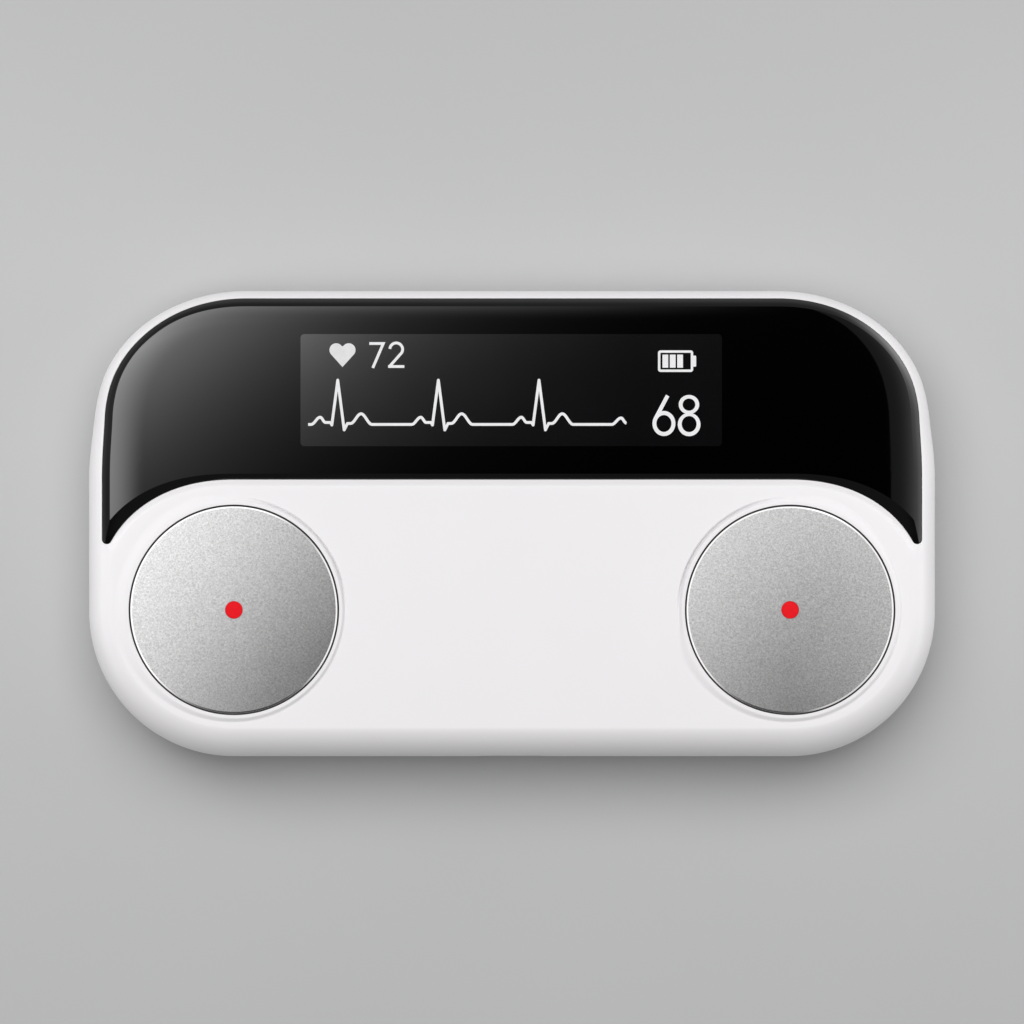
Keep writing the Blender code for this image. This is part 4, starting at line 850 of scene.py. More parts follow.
# %% Front shell: slots for the key and the charging socket
SLOT_SIDES = 20
KEY_CLEARANCE = 0.15 * MM
SOCKET_CLEARANCE = 0.28 * MM
key_low, key_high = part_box("power_key")
socket_low, socket_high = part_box("charge_socket_shell")
KEY_FLANGE = 0.6 * MM
KEY_LENGTH = key_high.y - key_low.y - 2.0 * KEY_FLANGE
KEY_WIDTH = key_high.z - key_low.z - 2.0 * KEY_FLANGE
KEY_Y = (key_low.y + key_high.y) / 2.0
KEY_Z = (key_low.z + key_high.z) / 2.0
SOCKET_Z = (socket_low.z + socket_high.z) / 2.0
SOCKET_WIDTH = socket_high.x - socket_low.x
SOCKET_HEIGHT = socket_high.z - socket_low.z


def slot_outline(width, height):
    """A long round-ended shape, centred, as (across, up) points."""
    radius = height / 2.0
    reach = width / 2.0 - radius
    points = []
    for sign, first in ((1.0, -math.pi / 2.0), (-1.0, math.pi / 2.0)):
        for i in range(SLOT_SIDES + 1):
            turn = first + math.pi * i / SLOT_SIDES
            points.append((sign * reach + radius * math.cos(turn), radius * math.sin(turn)))
    return points


def key_ring(x, width, height):
    return [(x, KEY_Y + a, KEY_Z + b) for a, b in slot_outline(width, height)]


def socket_ring(y, width, height):
    return [(a, y, SOCKET_Z + b) for a, b in slot_outline(width, height)]


key_slot = (KEY_LENGTH + 2.0 * KEY_CLEARANCE, KEY_WIDTH + 2.0 * KEY_CLEARANCE)
key_slot_ends = (BODY_WIDTH / 2.0 - WALL - OVERRUN, BODY_WIDTH / 2.0 + OVERRUN)
carve(front, loft("key_slot", [key_ring(x, *key_slot) for x in key_slot_ends]))
socket_slot = (SOCKET_WIDTH + 2.0 * SOCKET_CLEARANCE, SOCKET_HEIGHT + 2.0 * SOCKET_CLEARANCE)
socket_slot_ends = (-BODY_HEIGHT / 2.0 - OVERRUN, WALL + OVERRUN - BODY_HEIGHT / 2.0)
carve(front, loft("socket_slot", [socket_ring(y, *socket_slot) for y in socket_slot_ends]))

shade(front)
dress(front, WHITE)
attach(front, "case")
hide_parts("front_housing")
print("front shell:", len(front.data.polygons), "faces")

# %% [markdown]
# ## The rear shell
#
# The rear shell is a tub with a flat back and a rounded edge. It repeats the front shell's
# outline exactly, so that the two meet in a thin even line, and its tongue stands up inside
# the front shell's groove. The back has four counterbores for the screws, which come up
# through bosses. The tub is a loft too, so that its floor meets the walls in a fillet.

# %% Rear shell
REAR_EDGE_RUN = 3.6 * MM
REAR_EDGE_RISE = 3.8 * MM
REAR_EDGE_STEPS = 14
PARTING_GAP = 0.1 * MM
REAR_SHELL_TOP = FRONT_SHELL_BOTTOM - PARTING_GAP
FLOOR = 1.6 * MM
FLOOR_FILLET_RUN = 2.6 * MM
FLOOR_FILLET_RISE = 2.4 * MM
FLOOR_FILLET_STEPS = 6
HEAD_HOLE_RADIUS = 2.1 * MM
SHANK_HOLE_RADIUS = 1.2 * MM
REAR_BOSS_RADIUS = 2.8 * MM
BOSS_CLEARANCE = 0.05 * MM
HEAD_SEAT = 2.55 * MM

rear_rings = []
for turn in reversed(arc(REAR_EDGE_STEPS)):
    inset = REAR_EDGE_RUN * (1.0 - math.cos(turn))
    rear_rings.append(body_ring(even(inset), REAR_EDGE_RISE * (1.0 - math.sin(turn))))
rear_rings += reversed(parting_edge(REAR_SHELL_TOP, -PARTING_EDGE))
rear_rings.append(body_ring(even(TONGUE_INSET), REAR_SHELL_TOP))
rear_rings.append(body_ring(even(TONGUE_INSET), rear_high.z))
rear = loft("white_rear_shell", rear_rings)

tub_rings = []
for turn in reversed(arc(FLOOR_FILLET_STEPS)):
    inset = WALL + FLOOR_FILLET_RUN * (1.0 - math.cos(turn))
    tub_rings.append(body_ring(even(inset), FLOOR + FLOOR_FILLET_RISE * (1.0 - math.sin(turn))))
tub_rings.append(body_ring(even(WALL), rear_high.z + OVERRUN))
carve(rear, loft("tub", tub_rings))
board_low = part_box("main_board")[0].z
for spot in screw_spots:
    join(rear, rod("rear_boss", REAR_BOSS_RADIUS, FLOOR / 2.0, board_low - BOSS_CLEARANCE, spot))
for spot in screw_spots:
    carve(rear, rod("head_hole", HEAD_HOLE_RADIUS, -OVERRUN, HEAD_SEAT, spot))
    carve(rear, rod("shank_hole", SHANK_HOLE_RADIUS, -OVERRUN, board_low + OVERRUN, spot))
print("rear tub with", len(screw_spots), "screw holes")

# %% [markdown]
# Two ribs on the floor keep the battery from sliding. They start inside the floor, because
# a join of two solids that only touch would be left to chance.

# %% Rear shell: battery ribs
battery_low, battery_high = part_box("battery_cell")
RIB_THICKNESS = 1.0 * MM
RIB_LENGTH = 16.0 * MM
RIB_RISE = 2.0 * MM
RIB_CLEARANCE = 0.4 * MM
rib_y = (battery_low.y + battery_high.y) / 2.0
half_x, half_y = RIB_THICKNESS / 2.0, RIB_LENGTH / 2.0
for sign in side_signs.values():
    rib_x = sign * (battery_high.x + RIB_CLEARANCE + half_x)
    rib = rectangle(rib_x - half_x, rib_y - half_y, rib_x + half_x, rib_y + half_y)
    join(rear, prism("bay_rib", rib, FLOOR / 2.0, FLOOR + RIB_RISE))

shade(rear)
dress(rear, WHITE)
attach(rear, "case")
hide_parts("rear_housing")
print("rear shell:", len(rear.data.polygons), "faces")

# %% [markdown]
# ## The black window
#
# The window is cast acrylic, black right through, polished and bevelled. A flat plate with
# a flat bevel would mirror one grey on each. The real one is lapped: its face rolls off
# before the bevel, quickly along the top and slowly along the sides, so that reflections
# bend there. Along the scallop it stays flat.
#
# The rings between the bevel and the flat get their heights from one rule, the distance to
# the top or side bevel. At the tips the rings of the scallop run into the ones of the side,
# and with one rule for both they can't disagree. Along the top and the sides the bevel keeps
# its slope, so where it is narrow, in the upper corners, the glass is higher at its edge.

# %% Window: bevel and lapped border
WINDOW_GAP = 0.05 * MM
BEVEL_DROP = 0.34 * MM
bevel_ring_shares = (0.05, 0.3, 0.55, 0.8, 1.0)
bevel_bulge_share = 0.16
bevel_slope_share = 0.2937
ROLL_TOP = 2.4 * MM
ROLL_SIDE = 3.9 * MM
ROLL_TILT = math.radians(1.8)
ROLL_STEPS = 26
ROLL_POWER_TOP = 3.0
ROLL_POWER_SIDE = 2.0
roll_from_share, roll_over_share = 1.0, 0.9


def roll_drop(u, distance):
    """The border's surface is a parabola that ends level, and a cubic along the top."""
    share = smooth((u - roll_from_share) / roll_over_share)
    width = mix(ROLL_TOP, ROLL_SIDE, share)
    power = mix(ROLL_POWER_TOP, ROLL_POWER_SIDE, share)
    return ROLL_TILT * width / power * max(0.0, 1.0 - distance / width) ** power


def window_heights(bevel_share, beyond):
    """Height below the face of each point of window_inner, in the same order."""
    side_crease = WINDOW_SIDE - BEVEL_RUN
    points = window_inner(bevel_share, beyond)[:len(WINDOW_HALF)]
    tip_index = next(i for i, row in enumerate(WINDOW_HALF) if row[2] == "tip")
    side_stations = stations()[:tip_index + 1]
    drops = []
    for i, (x, y) in enumerate(points):
        u = side_stations[min(i, tip_index)]
        distance = beyond if i < tip_index else side_crease - x
        crease_drop = roll_drop(u, max(0.0, distance))
        bulge = bevel_bulge_share * bevel_share * (1.0 - bevel_share)
        edge_share = max(0.0, 1.0 - bevel_share - bulge) if bevel_share < 1.0 else 0.0
        edge_drop = BEVEL_DROP
        if i < tip_index:
            edge_drop = roll_drop(u, 0.0) + bevel_slope_share * bevel_run_side(u)
        drops.append(mix(crease_drop, edge_drop, edge_share))
    return drops + drops[::-1]


def window_ring(bevel_share, beyond):
    points = window_inner(bevel_share, beyond)
    drops = window_heights(bevel_share, beyond)
    return [(x, y, WINDOW_FACE - drop) for (x, y), drop in zip(points, drops)]


window_rings = [
    ring_at(window_outline(-WINDOW_GAP), WINDOW_BACK),
    ring_at(window_outline(-WINDOW_GAP), WINDOW_FACE - BEVEL_DROP - WINDOW_GAP),
]
window_rings += [window_ring(share, 0.0) for share in bevel_ring_shares]
window_rings += [window_ring(1.0, ROLL_SIDE * i / ROLL_STEPS) for i in range(1, ROLL_STEPS + 1)]
window = loft("black_window", window_rings, MERGE_DISTANCE)
print("window:", len(window.data.polygons), "faces")

# %% [markdown]
# The acrylic's colour is nearly nothing: what we see of it are its reflections. Its polish
# is good but not perfect, so the roughness drifts very slightly, and a weak, slow bump
# keeps long reflections from looking ruled.

# %% Window: gloss black acrylic
WINDOW_SHARP_ANGLE = math.radians(9.0)
GLOSS_BLACK = finish("gloss_black_acrylic", (0.0004, 0.0004, 0.0005), (0.02, 0.035), swing=0.1,
                     drift=14.0 * MM, grain=7.0 * MM, depth=0.0004 * MM)
shade(window, WINDOW_SHARP_ANGLE)
dress(window, GLOSS_BLACK)
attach(window, "case")
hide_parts("display_window")
print("made", GLOSS_BLACK.name)

# %% [markdown]
# ## The lit display
#
# Behind the window lies a strip display. Switched on, its field looks a little lighter than
# the black around it, because its own glass throws back more light. Making the window
# transparent would show that too, at the price of a lit interior that no one sees. Instead
# the field is a thin plate of denser glass, two hundredths of a millimetre proud, with a
# higher refractive index, which reflects about three times as much.

# %% Display field
FIELD_WIDTH = 49.8 * MM
FIELD_HEIGHT = 13.24 * MM
FIELD_RADIUS = 0.45 * MM
FIELD_PROUD = 0.02 * MM
FIELD_SHIFT_X = -0.09 * MM
FIELD_SHIFT_Y = -0.04 * MM
FIELD_LEFT = FIELD_SHIFT_X - FIELD_WIDTH / 2.0
FIELD_BOTTOM = (oled_low.y + oled_high.y) / 2.0 + FIELD_SHIFT_Y - FIELD_HEIGHT / 2.0


def rounded_box(width, height, radius, steps=6):
    """A rounded rectangle from (0, 0) to (width, height)."""
    points = []
    for x, y, first in (
        (width - radius, radius, -0.5), (width - radius, height - radius, 0.0),
        (radius, height - radius, 0.5), (radius, radius, 1.0),
    ):
        for i in range(steps + 1):
            turn = math.pi * (first + 0.5 * i / steps)
            points.append((x + radius * math.cos(turn), y + radius * math.sin(turn)))
    return points


def on_field(points):
    """Points in the field's own millimetres, from its lower left corner."""
    return [(FIELD_LEFT + u * MM, FIELD_BOTTOM + v * MM) for u, v in points]


field_box = rounded_box(FIELD_WIDTH, FIELD_HEIGHT, FIELD_RADIUS)
field_outline = [(FIELD_LEFT + x, FIELD_BOTTOM + y) for x, y in field_box]
field = prism("display_field", field_outline, WINDOW_FACE - FIELD_PROUD, WINDOW_FACE + FIELD_PROUD)
FIELD_GLASS = finish("display_field_glass", (0.0035, 0.0035, 0.004), (0.07, 0.09), swing=0.1,
                     drift=10.0 * MM, grain=5.0 * MM, depth=0.0003 * MM, ior=2.0)
shade(field)
dress(field, FIELD_GLASS)
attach(field, "case")
print(f"display field {FIELD_WIDTH / MM:.1f} x {FIELD_HEIGHT / MM:.1f} mm")

# %% [markdown]
# ## What the display shows
#
# A heart and the pulse, a battery, a second number and a trace of three heartbeats. Text
# objects would need a typeface. These few signs are simple enough to draw: each is a stroke
# of constant width along a path, or a ring. The stroke helper walks along the path, sets a
# mitre on the inside of each corner and, where wanted, an arc on the outside.
#
# All positions are in millimetres from the field's lower left corner.

# %% Strokes
READOUT_PROUD = 0.02 * MM
READOUT_LOW = WINDOW_FACE
READOUT_HIGH = WINDOW_FACE + FIELD_PROUD + READOUT_PROUD
ROUND_TURN = math.radians(25.0)
JOIN_STEP = math.radians(15.0)


def stroke_outline(path, width, round_joins=True):
    """Both sides of a stroke along a path of (u, v) points, as one closed outline."""
    points = [Vector(point) for point in path]
    runs = [(b - a).normalized() for a, b in zip(points, points[1:])]
    left, right = [], []
    for i, point in enumerate(points):
        before = runs[max(0, i - 1)]
        after = runs[min(len(runs) - 1, i)]
        turn = before.angle_signed(after)
        half = width / 2.0
        normals = [Vector((-run.y, run.x)) for run in (before, after)]
        bisector = normals[0] + normals[1]
        mitre = bisector.normalized() * (half / math.cos(turn / 2.0))
        inner, outer = (right, left) if turn > 0.0 else (left, right)
        outer_sign = 1.0 if turn > 0.0 else -1.0
        inner.append(point - mitre * outer_sign)
        if round_joins and abs(turn) > ROUND_TURN:
            count = 2 + int(abs(turn) / JOIN_STEP)
            for k in range(count + 1):
                part = normals[0].copy()
                part.rotate(Matrix.Rotation(-turn * k / count, 2))
                outer.append(point + part * half * outer_sign)
        else:
            outer.append(point + mitre * outer_sign)
    return [(p.x, p.y) for p in left + right[::-1]]


def ellipse(centre, width, height, count=64):
    turns = [2.0 * math.pi * i / count for i in range(count)]
    return [(centre[0] + width / 2.0 * math.cos(t), centre[1] + height / 2.0 * math.sin(t)) for t in turns]


def sign_plate(name, outline):
    return prism(name, on_field(outline), READOUT_LOW, READOUT_HIGH)


def ring_plate(name, outer, inner):
    hole = prism("hole", on_field(inner), READOUT_LOW - OVERRUN, READOUT_HIGH + OVERRUN)
    return carve(sign_plate(name, outer), hole)


print(f"signs stand {READOUT_PROUD / MM:.2f} mm above the field")

# %% [markdown]
# The heart is filled, so it is an outline and not a stroke: an arc for each lobe and a
# straight flank down to the tip. The seven is a stroke with one sharp corner. The two is
# most of a circle that runs into a straight slope, and its foot is a second stroke, because
# one path would have to turn back on itself there.

# %% Heart and pulse
HEART_MIDDLE = (4.96, 11.23)
HEART_LOBE = 0.80
HEART_TIP = 1.88
HEART_SPREAD = 0.74
HEART_RISE = 0.13
HEART_START = math.radians(145.0)
HEART_END = math.radians(-42.0)
HEART_STEPS = 24


def heart_outline():
    """Two round lobes, and two straight flanks that meet in a tip below."""
    u, v = HEART_MIDDLE
    right = []
    for i in range(HEART_STEPS + 1):
        turn = mix(HEART_START, HEART_END, i / HEART_STEPS)
        right.append((HEART_SPREAD + HEART_LOBE * math.cos(turn), HEART_RISE + HEART_LOBE * math.sin(turn)))
    right.append((0.0, -HEART_TIP))
    half = [(max(0.0, a), b) for a, b in right]
    return [(u + a, v + b) for a, b in half] + [(u - a, v + b) for a, b in reversed(half[:-1])]


pulse_stroke = 0.325
seven = [(8.13, 12.13), (9.78, 12.13), (8.54, 9.24)]
two_middle = (11.31, 11.44)
two_radius = 0.755
two_degrees = range(176, -42, -10)
two_foot = [(10.35, 9.41), (12.27, 9.41)]
two = [
    (two_middle[0] + two_radius * math.cos(math.radians(degrees)),
     two_middle[1] + two_radius * math.sin(math.radians(degrees)))
    for degrees in two_degrees
]
two.append((10.52, 9.42))
heart = sign_plate("readout_heart", heart_outline())
pulse = sign_plate("readout_pulse", stroke_outline(seven, pulse_stroke, round_joins=False))
join(pulse, sign_plate("two", stroke_outline(two, pulse_stroke)))
join(pulse, sign_plate("two_foot", stroke_outline(two_foot, pulse_stroke)))
print("heart and pulse:", len(heart.data.polygons) + len(pulse.data.polygons), "faces")

# %% [markdown]
# The battery is a frame with a nub and three bars. We make the frame as one box less
# another, which keeps its corners round on both sides, where a closed stroke would need a
# seam.

# %% Battery sign
battery_left, battery_bottom = 42.24, 8.77
battery_wide, battery_tall = 4.16, 2.55
battery_stroke = 0.285
battery_round, battery_inner_round = 0.3, 0.05
nub_wide, nub_tall, nub_overlap, nub_round = 0.45, 1.3, 0.1, 0.12
bar_start, bar_spacing, bar_rise = 0.53, 0.87, 0.5
bar_wide, bar_tall, bar_round = 0.68, 1.55, 0.04
bars = 3


def box_at(u, v, width, height, radius):
    return [(u + a, v + b) for a, b in rounded_box(width, height, radius)]


battery = ring_plate(
    "readout_battery",
    box_at(battery_left, battery_bottom, battery_wide, battery_tall, battery_round),
    box_at(battery_left + battery_stroke, battery_bottom + battery_stroke,
           battery_wide - 2.0 * battery_stroke, battery_tall - 2.0 * battery_stroke, battery_inner_round),
)
nub_left = battery_left + battery_wide - nub_overlap
nub_bottom = battery_bottom + (battery_tall - nub_tall) / 2.0
join(battery, sign_plate("nub", box_at(nub_left, nub_bottom, nub_wide, nub_tall, nub_round)))
for number in range(bars):
    bar_left = battery_left + bar_start + bar_spacing * number
    bar = box_at(bar_left, battery_bottom + bar_rise, bar_wide, bar_tall, bar_round)
    join(battery, sign_plate("bar", bar))
print("battery sign:", len(battery.data.polygons), "faces")

# %% [markdown]
# The bowls of the large number are made the same way, from two ellipses each, because their
# sides are a little heavier than their top and foot. The stem of the six is a stroke. It
# ends where a line from its top touches the middle of the bowl's ring, which a short sum
# finds once both are scaled so that this middle is a circle.

# %% Large number
rate_stroke = 0.455
bowl_middle = (42.94, 2.68)
bowl_outer, bowl_inner = (2.71, 2.96), (1.78, 2.0)
stem_top = (43.38, 5.98)
bowl_axes = (1.12, 1.257)
across = (stem_top[0] - bowl_middle[0]) / bowl_axes[0]
up = (stem_top[1] - bowl_middle[1]) / bowl_axes[1]
touch = math.atan2(up, across) + math.acos(1.0 / math.hypot(across, up))
stem_foot = (
    bowl_middle[0] + bowl_axes[0] * math.cos(touch),
    bowl_middle[1] + bowl_axes[1] * math.sin(touch),
)
rate = ring_plate("readout_rate", ellipse(bowl_middle, *bowl_outer), ellipse(bowl_middle, *bowl_inner))
join(rate, sign_plate("stem", stroke_outline([stem_top, stem_foot], rate_stroke)))

eight_ovals = {
    "upper": (((45.9, 4.92), 2.42, 2.26), ((45.9, 4.91), 1.5, 1.44)),
    "lower": (((45.92, 2.56), 2.68, 2.76), ((45.92, 2.61), 1.76, 1.9)),
}
eight = None
for name, (outer, inner) in eight_ovals.items():
    half_of_eight = ring_plate(name, ellipse(*outer), ellipse(*inner))
    eight = join(eight, half_of_eight) if eight else half_of_eight
join(rate, eight)
print("large number:", len(rate.data.polygons), "faces")

# %% [markdown]
# One heartbeat is a small bump, a dip, a tall spike, a deeper dip and a broad bump. We
# write it once, around the spike, and repeat it along the trace. The bumps are half waves
# of a cosine, which start and end level, like the ones in the photograph.

# %% Trace
BEAT_SPACING = 11.89
FIRST_SPIKE = 4.40
BASE_LINE = 2.565
BEATS = 3
BUMP_STEPS = 9
trace_stroke = 0.33
lead_in = -3.5
small_bump, small_heights = (-3.15, -2.08, -1.45), (BASE_LINE, 3.42, 2.80)
spike_points = ((-0.86, 2.80), (-0.70, 2.50), (0.0, 7.80), (0.76, 1.92), (1.14, 2.68))
broad_bump, broad_heights = (1.52, 2.75, 4.05), (2.68, 3.83, BASE_LINE)
last_bump, last_heights = (-3.3, -2.2, -1.56), (BASE_LINE, 3.33, 2.72)


def half_wave(start, end, low, high):
    """A smooth way from (start, low) to (end, high)."""
    points = []
    for i in range(BUMP_STEPS + 1):
        share = i / BUMP_STEPS
        points.append((mix(start, end, share), mix(low, high, 0.5 - 0.5 * math.cos(math.pi * share))))
    return points


def bump(spike, places, heights):
    """A rise and a fall through three places, counted from the spike."""
    start, peak, end = [spike + place for place in places]
    low, high, last = heights
    return half_wave(start, peak, low, high)[:-1] + half_wave(peak, end, high, last)


def beat(spike):
    sharp = [(spike + place, height) for place, height in spike_points]
    return ([(spike + lead_in, BASE_LINE)] + bump(spike, small_bump, small_heights)
            + sharp + bump(spike, broad_bump, broad_heights))


trace_path = []
for number in range(BEATS):
    trace_path += beat(FIRST_SPIKE + BEAT_SPACING * number)
trace_path += bump(FIRST_SPIKE + BEAT_SPACING * BEATS, last_bump, last_heights)
trace = sign_plate("readout_trace", stroke_outline(trace_path, trace_stroke))
print("trace of", len(trace_path), "points")

# %% [markdown]
# The readout glows, so its material emits. A strength near 1 is white on the picture, and
# the photograph's signs are a little under that.

# %% Readout: light-emitting white
def glow(name, colour, strength):
    material, nodes, links = blank_material(name)
    shader = nodes["Principled BSDF"]
    slow = noise(nodes, links, 0.8 * MM)
    links.new(tint(nodes, links, slow, colour, 0.04), shader.inputs["Emission Color"])
    shader.inputs["Emission Strength"].default_value = strength
    shader.inputs["Base Color"].default_value = (0.02, 0.02, 0.02, 1.0)
    shader.inputs["Roughness"].default_value = 0.3
    return material


READOUT_WHITE = glow("readout_white", (0.8, 0.8, 0.81), 1.0)
READOUT_HEART = glow("readout_heart_white", (0.72, 0.72, 0.725), 1.0)
for sign_piece in (heart, pulse, battery, rate, trace):
    shade(sign_piece)
    dress(sign_piece, READOUT_HEART if sign_piece is heart else READOUT_WHITE)
    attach(sign_piece, "case")
print("made", READOUT_WHITE.name, "and", READOUT_HEART.name)

# %% [markdown]
# ## The thumb discs
#
# Two stainless discs, turned, bead-blasted and then chamfered, so that the chamfer shows
# bright metal round a grey, grainy face. The face is very slightly crowned, which is what
# lets the light roll off across it. One turned profile gives the crown, the chamfer, the
# rim and the stud, where a cylinder with a bevel would have a flat face.

# %% Discs: the turned profile
DISC_RADIUS = ELECTRODE_RADIUS + 0.09 * MM
DISC_CHAMFER = 0.2 * MM
CHAMFER_ANGLE = math.radians(21.0)
DISC_EDGE = 0.02 * MM
DISC_THICKNESS = 1.1 * MM
DISC_SHARP_ANGLE = math.radians(14.0)
CROWN_RISE = 0.05 * MM
CROWN_DROP = 0.05 * MM
CROWN_STEPS = 10
DOT_RADIUS = (dot_high.x - dot_low.x) / 2.0
DOT_GAP = 0.03 * MM
DOT_DEPTH = dot_high.z - dot_low.z
ELECTRODE_BACK = ELECTRODE_FACE - DISC_THICKNESS


def crown_height(radius):
    share = (radius / DISC_RADIUS) ** 2
    return ELECTRODE_FACE + mix(CROWN_RISE, -CROWN_DROP, share)


def disc_profile():
    pit = DOT_RADIUS + DOT_GAP
    floor = ELECTRODE_FACE - DOT_DEPTH - DOT_GAP
    inner = DISC_RADIUS - DISC_CHAMFER
    profile = [(0.0, floor), (pit, floor)]
    for i in range(CROWN_STEPS + 1):
        radius = mix(pit, inner, i / CROWN_STEPS)
        profile.append((radius, crown_height(radius)))
    foot = crown_height(inner) - (DISC_CHAMFER - DISC_EDGE) * math.tan(CHAMFER_ANGLE)
    profile += [(DISC_RADIUS - DISC_EDGE, foot), (DISC_RADIUS, foot - DISC_EDGE)]
    profile += [(DISC_RADIUS, ELECTRODE_BACK), (STUD_RADIUS, ELECTRODE_BACK)]
    profile += [(STUD_RADIUS, disc_low.z), (0.0, disc_low.z)]
    return profile


print("disc profile of", len(disc_profile()), "points")

# %% [markdown]
# Blasting leaves shallow dents, so one noise gives the face both its relief and its light
# and dark grains. The colour follows the same noise and is darker in the dents: partly the
# steel's random grain tone, partly painted shade. Bump alone would lose the grains wherever
# what the steel mirrors is even.
# The faces of the chamfer get a second, polished material.

# %% Discs: blasted face and bright chamfer
GRAIN = 0.19 * MM
GRAIN_DEPTH = 0.011 * MM
GLOSS_DRIFT = 5.0 * MM
STEEL = (0.62, 0.616, 0.617)


def blasted_steel():
    """Grey steel with a grain of shallow dents, a fifth of a millimetre wide, and painted shade in the dents.
    """
    material, nodes, links = blank_material("blasted_steel")
    shader = nodes["Principled BSDF"]
    shader.inputs["Metallic"].default_value = 1.0
    grain = noise(nodes, links, GRAIN, detail=0.5, distortion=1.2)
    slow = noise(nodes, links, GLOSS_DRIFT)
    # The colour darkens with the same noise that makes the dents: painted shade in them, on top of the
    # steel's random grain tone.
    links.new(tint(nodes, links, grain, STEEL, 0.2), shader.inputs["Base Color"])
    links.new(spread(nodes, links, slow, 0.3, 0.34), shader.inputs["Roughness"])
    links.new(bumped(nodes, links, grain, GRAIN_DEPTH), shader.inputs["Normal"])
    return material


BLASTED_WITH_PAINTED_SHADE = blasted_steel()
BRIGHT_EDGE = finish("turned_bright_edge", (0.78, 0.78, 0.77), (0.16, 0.22), metallic=1.0,
                     grain=0.3 * MM, depth=0.0006 * MM)
discs = {}
edge_start = DISC_RADIUS - DISC_CHAMFER
edge_foot = ELECTRODE_FACE - 2.0 * DISC_CHAMFER
for side, spot in disc_spots.items():
    disc = turned(f"{side}_thumb_disc", disc_profile(), spot, ROUND_SIDES)
    disc.data.materials.append(BLASTED_WITH_PAINTED_SHADE)
    disc.data.materials.append(BRIGHT_EDGE)
    for face in disc.data.polygons:
        reach = (Vector(face.center[:2]) - Vector(spot)).length
        if reach > edge_start and face.center.z > edge_foot:
            face.material_index = 1
    shade(disc, DISC_SHARP_ANGLE)
    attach(disc, "case")
    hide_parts(f"{side}_electrode")
    discs[side] = disc
print("discs of", len(disc.data.polygons), "faces each")

# %% [markdown]
# The gap round each disc shows as a fine dark line. What darkens it is the seal below the
# disc, whose outer edge stands up in the gap as a thin lip. Each seal starts as a cylinder.
# One cut makes room for the disc and another opens its middle.

# %% Seals
SEAL_WIDTH = 2.2 * MM
SEAL_PLAY = 0.01 * MM
SEAL_LIP_DROP = 0.4 * MM
SEAL_TOP = LIP_TOP - SEAL_LIP_DROP
DARK_RUBBER = finish("dark_rubber", (0.03, 0.03, 0.032), (0.62, 0.75), grain=0.2 * MM, depth=0.003 * MM)
middle_radius = ELECTRODE_RADIUS - SEAL_WIDTH
middle_low = seal_low.z - OVERRUN
for side, spot in disc_spots.items():
    seal = rod(f"{side}_disc_seal", SEAT_RADIUS - SEAL_PLAY, seal_low.z, SEAL_TOP, spot, ROUND_SIDES)
    carve(seal, rod("disc_room", DISC_RADIUS + SEAL_PLAY, seal_high.z, LIP_TOP, spot, ROUND_SIDES))
    carve(seal, rod("middle", middle_radius, middle_low, LIP_TOP, spot, ROUND_SIDES))
    shade(seal)
    dress(seal, DARK_RUBBER)
    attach(seal, "case")
    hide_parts(f"{side}_electrode_seal")
print("seals", round(2.0 * SEAT_RADIUS / MM, 2), "mm across")

# %% [markdown]
# A small red inlay marks the middle of each disc. It is poured enamel, flush and slightly
# domed. A high gloss would mirror the pale room and wash the red out, so its gloss and its
# refractive index are low. Its edge is rounded, so that it ends softly against the metal.

# %% Red inlays
DOT_DOME = 0.03 * MM
DOT_EDGE = 0.06 * MM
DOME_STEPS = 8
DOT_EDGE_STEPS = 3
DOT_SIDES = 64
RED = finish("red_enamel", (0.76, 0.01, 0.016), (0.4, 0.5), swing=0.04, drift=0.7 * MM,
             grain=0.25 * MM, depth=0.0008 * MM, ior=1.22)
dome = [(DOT_RADIUS * i / DOME_STEPS, dot_high.z + DOT_DOME * (1.0 - (i / DOME_STEPS) ** 2))
        for i in range(DOME_STEPS)]
rim = [(DOT_RADIUS - DOT_EDGE * (1.0 - math.sin(t)), dot_high.z - DOT_EDGE * (1.0 - math.cos(t)))
       for t in arc(DOT_EDGE_STEPS)]
inlay_profile = dome + rim + [(DOT_RADIUS, dot_low.z), (0.0, dot_low.z)]
for side, spot in disc_spots.items():
    inlay = turned(f"{side}_red_inlay", inlay_profile, spot, DOT_SIDES)
    shade(inlay)
    dress(inlay, RED)
    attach(inlay, "case")
    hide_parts(f"{side}_centre_dot")
print("red inlays", round(2.0 * DOT_RADIUS / MM, 2), "mm across")

# %% [markdown]
# ## The key
#
# The power key on the right edge is the one part that moves. It is a long cap with round
# ends that passes through the wall, and a flange inside that stops it falling out. Its
# outer edge is rounded. It rides on the body "key", so it travels when the joint does.

# %% Power key
KEY_EDGE = 0.35 * MM
KEY_EDGE_STEPS = 6
KEY_FACE_INSET = 1.3 * KEY_EDGE
KEY_FACE_X = key_high.x
KEY_CROWN = 0.06 * MM
FLANGE_GAP = 0.05 * MM
FLANGE_THICKNESS = 0.8 * MM
STEM_WIDTH = 1.8 * MM
flange_front = BODY_WIDTH / 2.0 - WALL - FLANGE_GAP
flange_back = flange_front - FLANGE_THICKNESS

